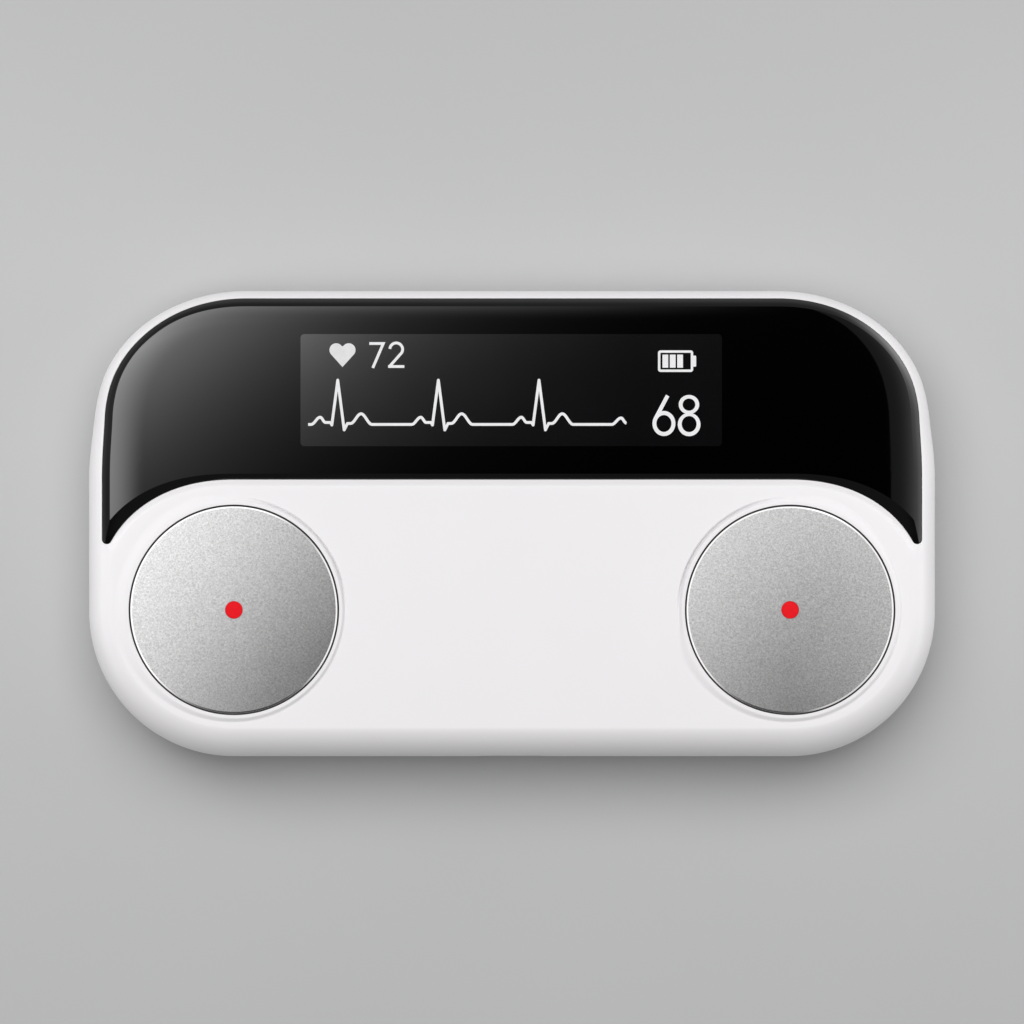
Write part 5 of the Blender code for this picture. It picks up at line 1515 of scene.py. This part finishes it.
key_levels = [(KEY_FACE_X, KEY_LENGTH - 2.0 * KEY_FACE_INSET, KEY_WIDTH - 2.0 * KEY_FACE_INSET)]
for t in arc(KEY_EDGE_STEPS):
    inset = 2.0 * KEY_EDGE * (1.0 - math.sin(t))
    depth = KEY_CROWN + KEY_EDGE * (1.0 - math.cos(t))
    key_levels.append((KEY_FACE_X - depth, KEY_LENGTH - inset, KEY_WIDTH - inset))
key_levels += [
    (flange_front, KEY_LENGTH, KEY_WIDTH),
    (flange_front, KEY_LENGTH + 2.0 * KEY_FLANGE, KEY_WIDTH + 2.0 * KEY_FLANGE),
    (flange_back, KEY_LENGTH + 2.0 * KEY_FLANGE, KEY_WIDTH + 2.0 * KEY_FLANGE),
    (flange_back, STEM_WIDTH, STEM_WIDTH),
    (key_low.x, STEM_WIDTH, STEM_WIDTH),
]
key = loft("grey_power_key", [key_ring(*level) for level in key_levels], MERGE_DISTANCE)
KEY_GREY = finish("satin_grey_key", (0.3, 0.3, 0.31), (0.42, 0.5), swing=0.02, grain=0.1 * MM,
                  depth=0.0015 * MM)
shade(key)
dress(key, KEY_GREY)
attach(key, "key")
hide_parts("power_key")
print(f"key {KEY_LENGTH / MM:.1f} x {KEY_WIDTH / MM:.1f} mm")

# %% [markdown]
# ## The charging socket
#
# In the lower edge sits a small metal socket: a folded steel shell with a rounded mouth,
# and a dark tongue in it that carries gold contacts. From the front nothing of it shows,
# but from the edge it is the first thing one looks at. The shell is the key's long round
# shape again, so the same ring helper makes it, with its mouth rounded like a rolled edge.

# %% Charging socket: shell
SOCKET_WALL = 0.3 * MM
MOUTH_ROUND = 0.12 * MM
MOUTH_STEPS = 4
SOCKET_FRONT = socket_low.y
SOCKET_BACK = socket_high.y
inner_width = SOCKET_WIDTH - 2.0 * SOCKET_WALL
inner_height = SOCKET_HEIGHT - 2.0 * SOCKET_WALL
shell_rings = [socket_ring(SOCKET_BACK, SOCKET_WIDTH, SOCKET_HEIGHT)]
for t in arc(MOUTH_STEPS):
    inset = 2.0 * MOUTH_ROUND * (1.0 - math.cos(t))
    y = SOCKET_FRONT + MOUTH_ROUND * (1.0 - math.sin(t))
    shell_rings.append(socket_ring(y, SOCKET_WIDTH - inset, SOCKET_HEIGHT - inset))
socket_shell = loft("charging_socket_shell", shell_rings)
bore_rings = [socket_ring(y, inner_width, inner_height)
              for y in (SOCKET_FRONT - OVERRUN, SOCKET_BACK - SOCKET_WALL)]
carve(socket_shell, loft("bore", bore_rings))
PLATED = finish("bright_plated_steel", (0.6, 0.6, 0.59), (0.2, 0.3), metallic=1.0, swing=0.03,
                grain=0.2 * MM, depth=0.0005 * MM)
shade(socket_shell)
dress(socket_shell, PLATED)
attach(socket_shell, "case")
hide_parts("charge_socket_shell")
print(f"socket shell {SOCKET_WIDTH / MM:.1f} x {SOCKET_HEIGHT / MM:.1f} mm")

# %% [markdown]
# The tongue is a round-ended base with a flat blade. Its contacts are thin gold strips that
# lie in the blade and stand a hair proud of both faces. As colour alone they would vanish
# at a low angle, so they are pieces, joined into one.

# %% Charging socket: tongue and contacts
tongue_low, tongue_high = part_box("charge_socket_tongue")
BLADE_WIDTH = 6.7 * MM
BLADE_THICKNESS = 0.7 * MM
BASE_DEPTH = 1.6 * MM
base_rings = [socket_ring(y, tongue_high.x - tongue_low.x, tongue_high.z - tongue_low.z)
              for y in (tongue_high.y - BASE_DEPTH, tongue_high.y)]
tongue = loft("charging_socket_tongue", base_rings)
half_blade = BLADE_WIDTH / 2.0
blade_outline = rectangle(-half_blade, tongue_low.y, half_blade, tongue_high.y - BASE_DEPTH / 2.0)
blade_low = SOCKET_Z - BLADE_THICKNESS / 2.0
join(tongue, prism("blade", blade_outline, blade_low, blade_low + BLADE_THICKNESS))
MOULDED_BLACK = finish("moulded_black", (0.02, 0.02, 0.022), (0.45, 0.55), grain=0.15 * MM,
                       depth=0.002 * MM)
shade(tongue)
dress(tongue, MOULDED_BLACK)
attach(tongue, "case")
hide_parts("charge_socket_tongue")

CONTACTS = 12
CONTACT_PITCH = 0.5 * MM
CONTACT_WIDTH = 0.26 * MM
CONTACT_START = 0.3 * MM
CONTACT_END = 3.6 * MM
CONTACT_PROUD = 0.02 * MM
GOLD = finish("contact_gold", (0.83, 0.57, 0.22), (0.22, 0.3), metallic=1.0, grain=0.1 * MM,
              depth=0.0004 * MM)
contacts = None
for number in range(CONTACTS):
    x = (number - (CONTACTS - 1) / 2.0) * CONTACT_PITCH
    outline = rectangle(x - CONTACT_WIDTH / 2.0, tongue_low.y + CONTACT_START,
                        x + CONTACT_WIDTH / 2.0, tongue_low.y + CONTACT_END)
    pad = prism("contact", outline, blade_low - CONTACT_PROUD, blade_low + BLADE_THICKNESS + CONTACT_PROUD)
    contacts = join(contacts, pad) if contacts else pad
contacts.name = "charging_contacts"
shade(contacts)
dress(contacts, GOLD)
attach(contacts, "case")
print("socket with", CONTACTS, "contacts on each face of its tongue")

# %% [markdown]
# ## Inside the case
#
# Everything else keeps its CAD shape, because the case hides it. It still gets a finish of
# its own, so that the model can be opened up: green solder mask, black epoxy chips, amber
# film, foil, rubber. They all come from the recipe of the white plastic, with other
# colours, gloss and grain.

# %% Finishes of the inner parts
INNER_FINISHES = {
    "dark_rubber": DARK_RUBBER,
    "tape": finish("adhesive_film", (0.02, 0.02, 0.02), (0.7, 0.85), grain=0.3 * MM, depth=0.002 * MM),
    "display_glass": finish("display_glass", (0.012, 0.013, 0.015), (0.08, 0.12), grain=3.0 * MM,
                            depth=0.0004 * MM),
    "grey_plastic": KEY_GREY,
    "circuit_board": finish("green_solder_mask", (0.02, 0.11, 0.05), (0.35, 0.5), swing=0.2, drift=1.6 * MM,
                            grain=0.5 * MM, depth=0.01 * MM),
    "chip_black": MOULDED_BLACK,
    "spring_steel": finish("spring_strip", (0.55, 0.53, 0.5), (0.25, 0.35), metallic=1.0, grain=0.4 * MM,
                           depth=0.001 * MM),
    "amber_film": finish("amber_film", (0.45, 0.2, 0.03), (0.3, 0.42), swing=0.1, grain=1.0 * MM,
                         depth=0.002 * MM),
    "cell_foil": finish("cell_foil", (0.5, 0.5, 0.52), (0.4, 0.5), metallic=0.6, drift=5.0 * MM,
                        grain=1.5 * MM, depth=0.02 * MM),
    "red_wire": finish("red_wire", (0.6, 0.02, 0.02), (0.4, 0.5), grain=0.3 * MM, depth=0.002 * MM),
    "black_wire": finish("black_wire", (0.02, 0.02, 0.02), (0.4, 0.5), grain=0.3 * MM, depth=0.002 * MM),
    "plated_steel": finish("zinc_plate", (0.5, 0.5, 0.5), (0.3, 0.42), metallic=1.0, grain=0.25 * MM,
                           depth=0.001 * MM),
    "red_enamel": RED,
}
slot_of = {part["node"]: part["material_slot"] for part in frame["record"]["subparts"]}
kept_nodes = [name for name, node in frame["nodes"].items() if not node.hide_render]
for name in kept_nodes:
    node = frame["nodes"][name]
    coat = INNER_FINISHES[slot_of[name]]
    if node.material_slots:
        node.material_slots[0].material = coat
    else:
        node.data.materials.append(coat)
print(len(kept_nodes), "CAD nodes keep their shape")

# %% [markdown]
# ## Floor and background
#
# The object lies on a plain pale floor, a little darker than the white plastic, so that the
# body's outline reads. The background is the world. Reflections see it light, the camera
# sees it as dark as the floor's far end, so that low views show no hard horizon, and to
# everything else it gives a weak, even fill.

# %% Floor and world
FLOOR_SIZE = 12.0
FLOOR_GREY = (0.5, 0.502, 0.505)
FILL = 0.22
BACKDROP = (0.6, 0.605, 0.61)
FAR_END = (0.35, 0.353, 0.356)

bpy.ops.mesh.primitive_plane_add(size=FLOOR_SIZE, location=(0.0, 0.0, 0.0))
floor = bpy.context.object
floor.name = "floor"
dress(floor, finish("pale_floor", FLOOR_GREY, (0.7, 0.8), swing=0.01, drift=60.0 * MM, grain=0.6 * MM,
                    depth=0.004 * MM))

world = bpy.data.worlds.new("studio")
bpy.context.scene.world = world
world.use_nodes = True
world_nodes, world_links = world.node_tree.nodes, world.node_tree.links
background = world_nodes["Background"]
rays = world_nodes.new("ShaderNodeLightPath")
world_colours = {"Is Glossy Ray": BACKDROP, "Is Transmission Ray": BACKDROP, "Is Camera Ray": FAR_END}
level = None
for ray, colour in world_colours.items():
    blend = world_nodes.new("ShaderNodeMix")
    blend.data_type = "RGBA"
    blend.inputs["A"].default_value = (FILL, FILL, FILL, 1.0)
    blend.inputs["B"].default_value = (*colour, 1.0)
    if level:
        world_links.new(level, blend.inputs["A"])
    world_links.new(rays.outputs[ray], blend.inputs["Factor"])
    level = blend.outputs["Result"]
world_links.new(level, background.inputs["Color"])
print("floor and world in place")

# %% [markdown]
# ## Lamps
#
# The white plastic is even on top, bright at both ends and along the upper edge, and darker
# along the lower one. A broad lamp overhead, a little beyond the upper edge, does the top.
# The sides could get lamps at some height, but these would also fill the small slopes round
# the discs, which are darker than the panel. So three strips stand round the object, lower
# than its panel, and light nothing but its edges. They are linked to the object's pieces,
# or they would burn white bands into the floor. Two small lamps close above the ends lift
# those by a tenth and leave the slopes that face the middle in shade.
#
# The overhead lamp and the two small ones are kept out of reflections, because gloss black
# would mirror them as hard rectangles. What the gloss mirrors is made next.

# %% Soft lamps
def lamp(name, place, size, power, target, glossy=True, receivers=None):
    light = bpy.data.lights.new(name, "AREA")
    light.shape = "RECTANGLE"
    light.size, light.size_y = size
    light.energy = power
    thing = bpy.data.objects.new(name, light)
    thing.location = place
    thing.rotation_euler = (Vector(target) - Vector(place)).to_track_quat("-Z", "Y").to_euler()
    thing.visible_camera = False
    thing.visible_glossy = glossy
    if receivers:
        thing.light_linking.receiver_collection = receivers
    bpy.context.scene.collection.objects.link(thing)
    return thing


lit_pieces = bpy.data.collections.new("lit_by_the_strips")
for piece in bpy.context.scene.objects:
    if piece.type == "MESH" and piece is not floor:
        lit_pieces.objects.link(piece)

OVERHEAD_PLACE = (-0.08, 0.24, 0.88)
OVERHEAD_SIZE = (0.9, 0.9)
OVERHEAD_POWER = 7.5
STRIP_HEIGHT = 0.0115
STRIP_CLEARANCE = 0.001
STRIP_MIDDLE = STRIP_HEIGHT / 2.0 + STRIP_CLEARANCE
STRIP_AWAY = 0.13
UPPER_STRIP_LENGTH = 0.3
UPPER_STRIP_POWER = 0.06
SIDE_STRIP_LENGTH = 0.24
SIDE_STRIP_Y = 0.01
side_strip_powers = {"left": 0.042, "right": 0.06}
END_LAMP_X, END_LAMP_Y, END_LAMP_Z = 0.09, 0.02, 0.08
END_LAMP_SIZE = (0.05, 0.1)
END_LAMP_TARGET_X = 0.04
end_lamp_powers = {"left": 0.018, "right": 0.02}

lamp("overhead_lamp", OVERHEAD_PLACE, OVERHEAD_SIZE, OVERHEAD_POWER, (0.0, 0.0, 0.0), glossy=False)
for side, sign in side_signs.items():
    strip_x = sign * (BODY_WIDTH / 2.0 + STRIP_AWAY)
    lamp(f"{side}_strip", (strip_x, SIDE_STRIP_Y, STRIP_MIDDLE), (SIDE_STRIP_LENGTH, STRIP_HEIGHT),
         side_strip_powers[side], (0.0, SIDE_STRIP_Y, STRIP_MIDDLE), receivers=lit_pieces)
    lamp(f"{side}_end_lamp", (sign * END_LAMP_X, END_LAMP_Y, END_LAMP_Z), END_LAMP_SIZE,
         end_lamp_powers[side], (sign * END_LAMP_TARGET_X, 0.0, PANEL_HEIGHT), glossy=False)
strip_y = BODY_HEIGHT / 2.0 + STRIP_AWAY
lamp("upper_strip", (0.0, strip_y, STRIP_MIDDLE), (UPPER_STRIP_LENGTH, STRIP_HEIGHT), UPPER_STRIP_POWER,
     (0.0, 0.0, STRIP_MIDDLE), receivers=lit_pieces)
print("one lamp overhead, three strips and two small lamps over the ends")

# %% [markdown]
# ## Graded cards
#
# Gloss and metal are as good as what they mirror. A photographer holds graded cards over
# the product, and so do we. A card is a plane whose material emits. We write its brightness
# as a formula of the place on the card. A few small helpers make the node tree read like
# one.

# %% A formula for a card
class Formula:
    """Builds maths nodes in one material."""

    def __init__(self, name):
        self.material, self.nodes, self.links = blank_material(name)
        self.nodes.clear()
        place = self.nodes.new("ShaderNodeTexCoord")
        split = self.nodes.new("ShaderNodeSeparateXYZ")
        self.links.new(place.outputs["Object"], split.inputs[0])
        self.x = split.outputs["X"]
        self.y = split.outputs["Y"]

    def do(self, operation, *values):
        node = self.nodes.new("ShaderNodeMath")
        node.operation = operation
        for socket, value in zip(node.inputs, values):
            if isinstance(value, (int, float)):
                socket.default_value = value
            else:
                self.links.new(value, socket)
        return node.outputs[0]

    def add(self, *parts):
        total = parts[0]
        for part in parts[1:]:
            total = self.do("ADD", total, part)
        return total

    def times(self, *parts):
        product = parts[0]
        for part in parts[1:]:
            product = self.do("MULTIPLY", product, part)
        return product

    def between(self, low, high, share):
        """low where share is 0 and high where it is 1."""
        return self.add(low, self.times(share, high - low))

    def ramp(self, source, start, end):
        """0 before start, 1 after end, smooth between. start may be the larger one."""
        share = self.do("DIVIDE", self.do("SUBTRACT", source, start), end - start)
        node = self.nodes.new("ShaderNodeMapRange")
        node.interpolation_type = "SMOOTHSTEP"
        self.links.new(share, node.inputs["Value"])
        return node.outputs["Result"]

    def length(self, across, up):
        return self.do("SQRT", self.add(self.times(across, across), self.times(up, up)))

    def blob(self, centre, radius, strength):
        """A round patch with a soft edge."""
        across, up = [self.do("SUBTRACT", place, c) for place, c in zip((self.x, self.y), centre)]
        reach = self.do("DIVIDE", self.length(across, up), radius)
        return self.times(self.do("EXPONENT", self.times(reach, reach, -1.0)), strength)

    def emit(self, strength, see_through):
        shine = self.nodes.new("ShaderNodeEmission")
        self.links.new(strength, shine.inputs["Strength"])
        surface = shine.outputs[0]
        if see_through:
            clear = self.nodes.new("ShaderNodeBsdfTransparent")
            both = self.nodes.new("ShaderNodeAddShader")
            self.links.new(surface, both.inputs[0])
            self.links.new(clear.outputs[0], both.inputs[1])
            surface = both.outputs[0]
        out = self.nodes.new("ShaderNodeOutputMaterial")
        self.links.new(surface, out.inputs["Surface"])
        return self.material


print("a card's formula can", [word for word in vars(Formula) if not word.startswith("_")])

# %% [markdown]
# Only reflections can see a card. The window and the discs need different ones, and Cycles
# can link a light to the pieces that it is meant for, so each card has its list of
# receivers. A card that isn't meant for a piece looks black to it, so the discs' cards,
# which hang lower, also let everything through.

# %% Hang a card
def card(name, size, height, material, receivers):
    bpy.ops.mesh.primitive_plane_add(size=size, location=(0.0, 0.0, height))
    thing = bpy.context.object
    thing.name = name
    thing.data.materials.append(material)
    thing.visible_camera = False
    thing.visible_diffuse = False
    thing.visible_shadow = False
    thing.visible_transmission = False
    group = bpy.data.collections.new(name + "_receivers")
    for receiver in receivers:
        group.objects.link(receiver)
    thing.light_linking.receiver_collection = group
    return thing


print("cards are seen by reflections only")

# %% [markdown]
# The window's card hangs 100 mm above the face. Its upper left glows and fades by a factor
# of e every centimetre or so, which the window mirrors as the soft sheen on its left. A
# second, broader glow lies beyond the upper edge, for the border that rolls off there. A
# picture of a lamp would do as well, but a formula can be moved by changing one number.
#
# Each pair of places below says where a light is dark and where it is full.

# %% Card over the window: sheen and top glow
WINDOW_CARD_HEIGHT = 0.1
WINDOW_CARD_SIZE = 0.42
SHEEN_X, SHEEN_Y = -28.0 * MM, 23.0 * MM
SHEEN_FALL_X, SHEEN_FALL_Y = 11.2 * MM, 9.2 * MM
SHEEN_TOP = 25.0 * MM
SHEEN_STRENGTH = 1.36
SHEEN_LIMIT = 10.5
SHEEN_LEFT, SHEEN_ABOVE, SHEEN_BELOW = (-80.0 * MM, -60.0 * MM), (58.0 * MM, 40.0 * MM), (-8.0 * MM, 2.0 * MM)
BAND_STRENGTH = 3.4
BAND_RIGHT, BAND_ABOVE = (-44.0 * MM, -55.0 * MM), (24.0 * MM, 0.0)
GLOW_STRENGTH = 1.95
GLOW_RIGHT, GLOW_LEFT = (38.0 * MM, -35.0 * MM), (-84.0 * MM, -62.0 * MM)
GLOW_BELOW, GLOW_ABOVE = (24.8 * MM, 37.0 * MM), (58.0 * MM, 44.0 * MM)

tone = Formula("window_card")
x, y = tone.x, tone.y
fall_x = tone.do("DIVIDE", tone.do("SUBTRACT", x, SHEEN_X), -SHEEN_FALL_X)
held_y = tone.do("MINIMUM", y, SHEEN_TOP)
fall_y = tone.do("DIVIDE", tone.do("SUBTRACT", held_y, SHEEN_Y), SHEEN_FALL_Y)
sheen = tone.times(tone.do("EXPONENT", tone.add(fall_x, fall_y)), SHEEN_STRENGTH / SHEEN_LIMIT)
sheen = tone.times(tone.do("SUBTRACT", 1.0, tone.do("EXPONENT", tone.times(sheen, -1.0))), SHEEN_LIMIT)
left_band = tone.times(tone.ramp(x, *BAND_RIGHT), tone.ramp(y, *BAND_ABOVE), BAND_STRENGTH)
sheen = tone.times(tone.add(sheen, left_band), tone.ramp(x, *SHEEN_LEFT),
                   tone.ramp(y, *SHEEN_ABOVE), tone.ramp(y, *SHEEN_BELOW))
top_glow = tone.times(tone.ramp(x, *GLOW_RIGHT), tone.ramp(y, *GLOW_BELOW),
                      tone.ramp(y, *GLOW_ABOVE), tone.ramp(x, *GLOW_LEFT), GLOW_STRENGTH)
print("sheen and top glow")

# %% [markdown]
# The bevels lean outwards, so they mirror places far outside the body. There the card has a
# grey level of its own, which grows outwards. We measure outwards from the middles of the
# body's upper corners, because the places that a corner's bevel mirrors fan out round its
# middle. Farther still the card fades, or in low views it would bleach the window. The right
# side gets more light than the left one, and one more glow brightens the bevel in the right
# corner.

# %% Card over the window: what the bevels look at
beside_share = 0.9
OUTER_START, OUTER_RISE, OUTER_END = (44.0 * MM, 62.0 * MM), (70.5 * MM, 101.0 * MM), (158.0 * MM, 128.0 * MM)
OUTER_BELOW = (-30.0 * MM, -10.0 * MM)
outer_levels = (0.36, 1.76)
far_share = 0.22
LOWER_LEVEL = 0.15
LEFT_LIFT = 0.17
LIFT_RIGHT, LIFT_ABOVE, LIFT_BELOW = (10.0 * MM, -30.0 * MM), (84.0 * MM, 60.0 * MM), (0.0, 16.0 * MM)
RIGHT_LEFT, RIGHT_RISE = (60.0 * MM, 100.0 * MM), (65.0 * MM, 80.0 * MM)
right_levels = (0.6, 1.2)
CORNER_GLOW = (112.0 * MM, 66.0 * MM)
CORNER_GLOW_RADIUS = 33.0 * MM
CORNER_GLOW_STRENGTH = 4.2
CORNER_GLOW_RISE = (66.0 * MM, 82.0 * MM)
corner_glow_shares = (0.65, 1.0)

past_side = tone.do("MAXIMUM", tone.do("SUBTRACT", tone.do("ABSOLUTE", x), TOP_RUN), 0.0)
past_top = tone.do("MAXIMUM", tone.do("SUBTRACT", y, CORNER_CENTRE_Y), 0.0)
outwards = tone.length(tone.times(past_side, beside_share), past_top)
above_lower_end = tone.ramp(y, *OUTER_BELOW)
left_lift = tone.times(tone.ramp(x, *LIFT_RIGHT), tone.ramp(y, *LIFT_ABOVE),
                       tone.ramp(y, *LIFT_BELOW), LEFT_LIFT)
outer = tone.add(tone.between(*outer_levels, tone.ramp(outwards, *OUTER_RISE)), left_lift)
outer = tone.times(outer, tone.ramp(outwards, *OUTER_START), above_lower_end,
                   tone.between(far_share, 1.0, tone.ramp(outwards, *OUTER_END)))
right_light = tone.times(tone.between(*right_levels, tone.ramp(outwards, *RIGHT_RISE)),
                         tone.ramp(x, *RIGHT_LEFT), above_lower_end)
corner_glow = tone.times(tone.blob(CORNER_GLOW, CORNER_GLOW_RADIUS, CORNER_GLOW_STRENGTH),
                         tone.between(*corner_glow_shares, tone.ramp(outwards, *CORNER_GLOW_RISE)))
below = tone.times(tone.ramp(y, *reversed(OUTER_BELOW)), LOWER_LEVEL)
print("levels for the bevels")

# %% [markdown]
# The right half of the card is black up to a step, which draws the crisp line of light
# inside the window's right edge. The step's border is straight beside the window and bends
# over above it, so that the line follows the corner. Behind the step the light grows again.

# %% Card over the window: the step
STEP_X, STEP_Y = 47.5 * MM, 12.0 * MM
STEP_RADIUS = 24.2 * MM
STEP_RUN = 6.4 * MM
STEP_LEFT = (30.0 * MM, 36.0 * MM)
STEP_LEVEL, STEP_RISE = 0.21, 0.5
step_limit_share = 1.2
step_edge_shares, step_end_shares = (0.0, 0.03), (5.0, 2.0)

bend_x = tone.do("SUBTRACT", x, STEP_X - STEP_RADIUS)
bend_y = tone.do("MAXIMUM", tone.do("SUBTRACT", y, STEP_Y), 0.0)
past_step = tone.do("DIVIDE", tone.do("SUBTRACT", tone.length(bend_x, bend_y), STEP_RADIUS), STEP_RUN)
growth = tone.do("MINIMUM", tone.do("MAXIMUM", past_step, 0.0), step_limit_share)
step = tone.add(STEP_LEVEL, tone.times(growth, growth, growth, STEP_RISE))
step = tone.times(step, tone.ramp(past_step, *step_edge_shares), tone.ramp(x, *STEP_LEFT),
                  tone.ramp(past_step, *step_end_shares))
total = tone.add(sheen, top_glow, outer, right_light, corner_glow, below, step)
card("window_card", WINDOW_CARD_SIZE, PANEL_HEIGHT + WINDOW_CARD_HEIGHT, tone.emit(total, False),
     [window, field])
print("window card", WINDOW_CARD_SIZE, "m wide")

# %% [markdown]
# Blasted steel scatters what it mirrors, so each disc's card hangs lower and has slow
# gradients only: bright towards the upper left and dark towards the lower right. The right
# disc gets some light from the right as well. Farther out on both sides each card is bright
# again. Only the steep chamfer looks there, and it turns into the bright line round the disc.
# Beyond that the cards fade, or in low views they would bleach the steel. They overlap in
# the middle, so one hangs a little higher than the other.

# %% Cards over the discs
DISC_CARD_HEIGHT = 0.04
DISC_CARD_SIZE = 0.3
DISC_CARD_GAP = 2.0 * MM
DISC_CARD_END = (88.0 * MM, 62.0 * MM)
EDGE_LIGHT = 1.3
EDGE_LIGHT_START = (28.0 * MM, 42.0 * MM)
RIGHT_LIGHT_START = (2.0 * MM, 20.0 * MM)
# The direction of the gradient, where it is dark and bright, both levels, and how much more
# light comes from the right.
disc_lights = {
    "left": ((0.8, -0.6), (20.0 * MM, -20.0 * MM), (0.08, 1.58), 0.0),
    "right": ((0.75, -0.66), (16.0 * MM, -24.0 * MM), (0.07, 1.34), 0.8),
}
for side, spot in disc_spots.items():
    (across, up), places, levels, from_right = disc_lights[side]
    tone = Formula(f"{side}_disc_card")
    x = tone.do("SUBTRACT", tone.x, spot[0])
    y = tone.do("SUBTRACT", tone.y, spot[1])
    slant = tone.add(tone.times(x, across), tone.times(y, up))
    light = tone.between(*levels, tone.ramp(slant, *places))
    light = tone.add(light, tone.times(tone.ramp(x, *RIGHT_LIGHT_START), from_right))
    edge = tone.times(tone.ramp(tone.do("ABSOLUTE", x), *EDGE_LIGHT_START), EDGE_LIGHT)
    light = tone.times(tone.do("MAXIMUM", light, edge), tone.ramp(tone.length(x, y), *DISC_CARD_END))
    height = ELECTRODE_FACE + DISC_CARD_HEIGHT + (DISC_CARD_GAP if side == "right" else 0.0)
    card(f"{side}_disc_card", DISC_CARD_SIZE, height, tone.emit(light, True), [discs[side]])
print("two disc cards", DISC_CARD_SIZE, "m wide")

# %% [markdown]
# ## Camera
#
# The photograph looks straight down on the face with no visible perspective, so it was
# taken from afar through a long lens. The height follows from the lens and from the width
# that the picture covers at the face. The object sits about 12 pixels below the picture's
# middle, which the camera takes up by standing that much higher along Y.

# %% Camera
LENS = 1500.0
SENSOR = 36.0
FRAME_WIDTH = 121.04 * MM
CAMERA_Y = 1.37 * MM
MEASURED_HEIGHT = 11.5 * MM
CLIP_START, CLIP_END = 0.01, 50.0

camera_data = bpy.data.cameras.new("portrait_camera")
camera_data.lens = LENS
camera_data.sensor_width = SENSOR
camera_data.clip_start = CLIP_START
camera_data.clip_end = CLIP_END
camera = bpy.data.objects.new("portrait_camera", camera_data)
camera.location = (0.0, CAMERA_Y, MEASURED_HEIGHT + FRAME_WIDTH * LENS / SENSOR)
bpy.context.scene.collection.objects.link(camera)
bpy.context.scene.camera = camera
bpy.context.scene.view_settings.view_transform = "Standard"
print(f"camera {camera.location.z:.2f} m above the floor")

# %% [markdown]
# The dressed model has to stay inside the CAD model's box.
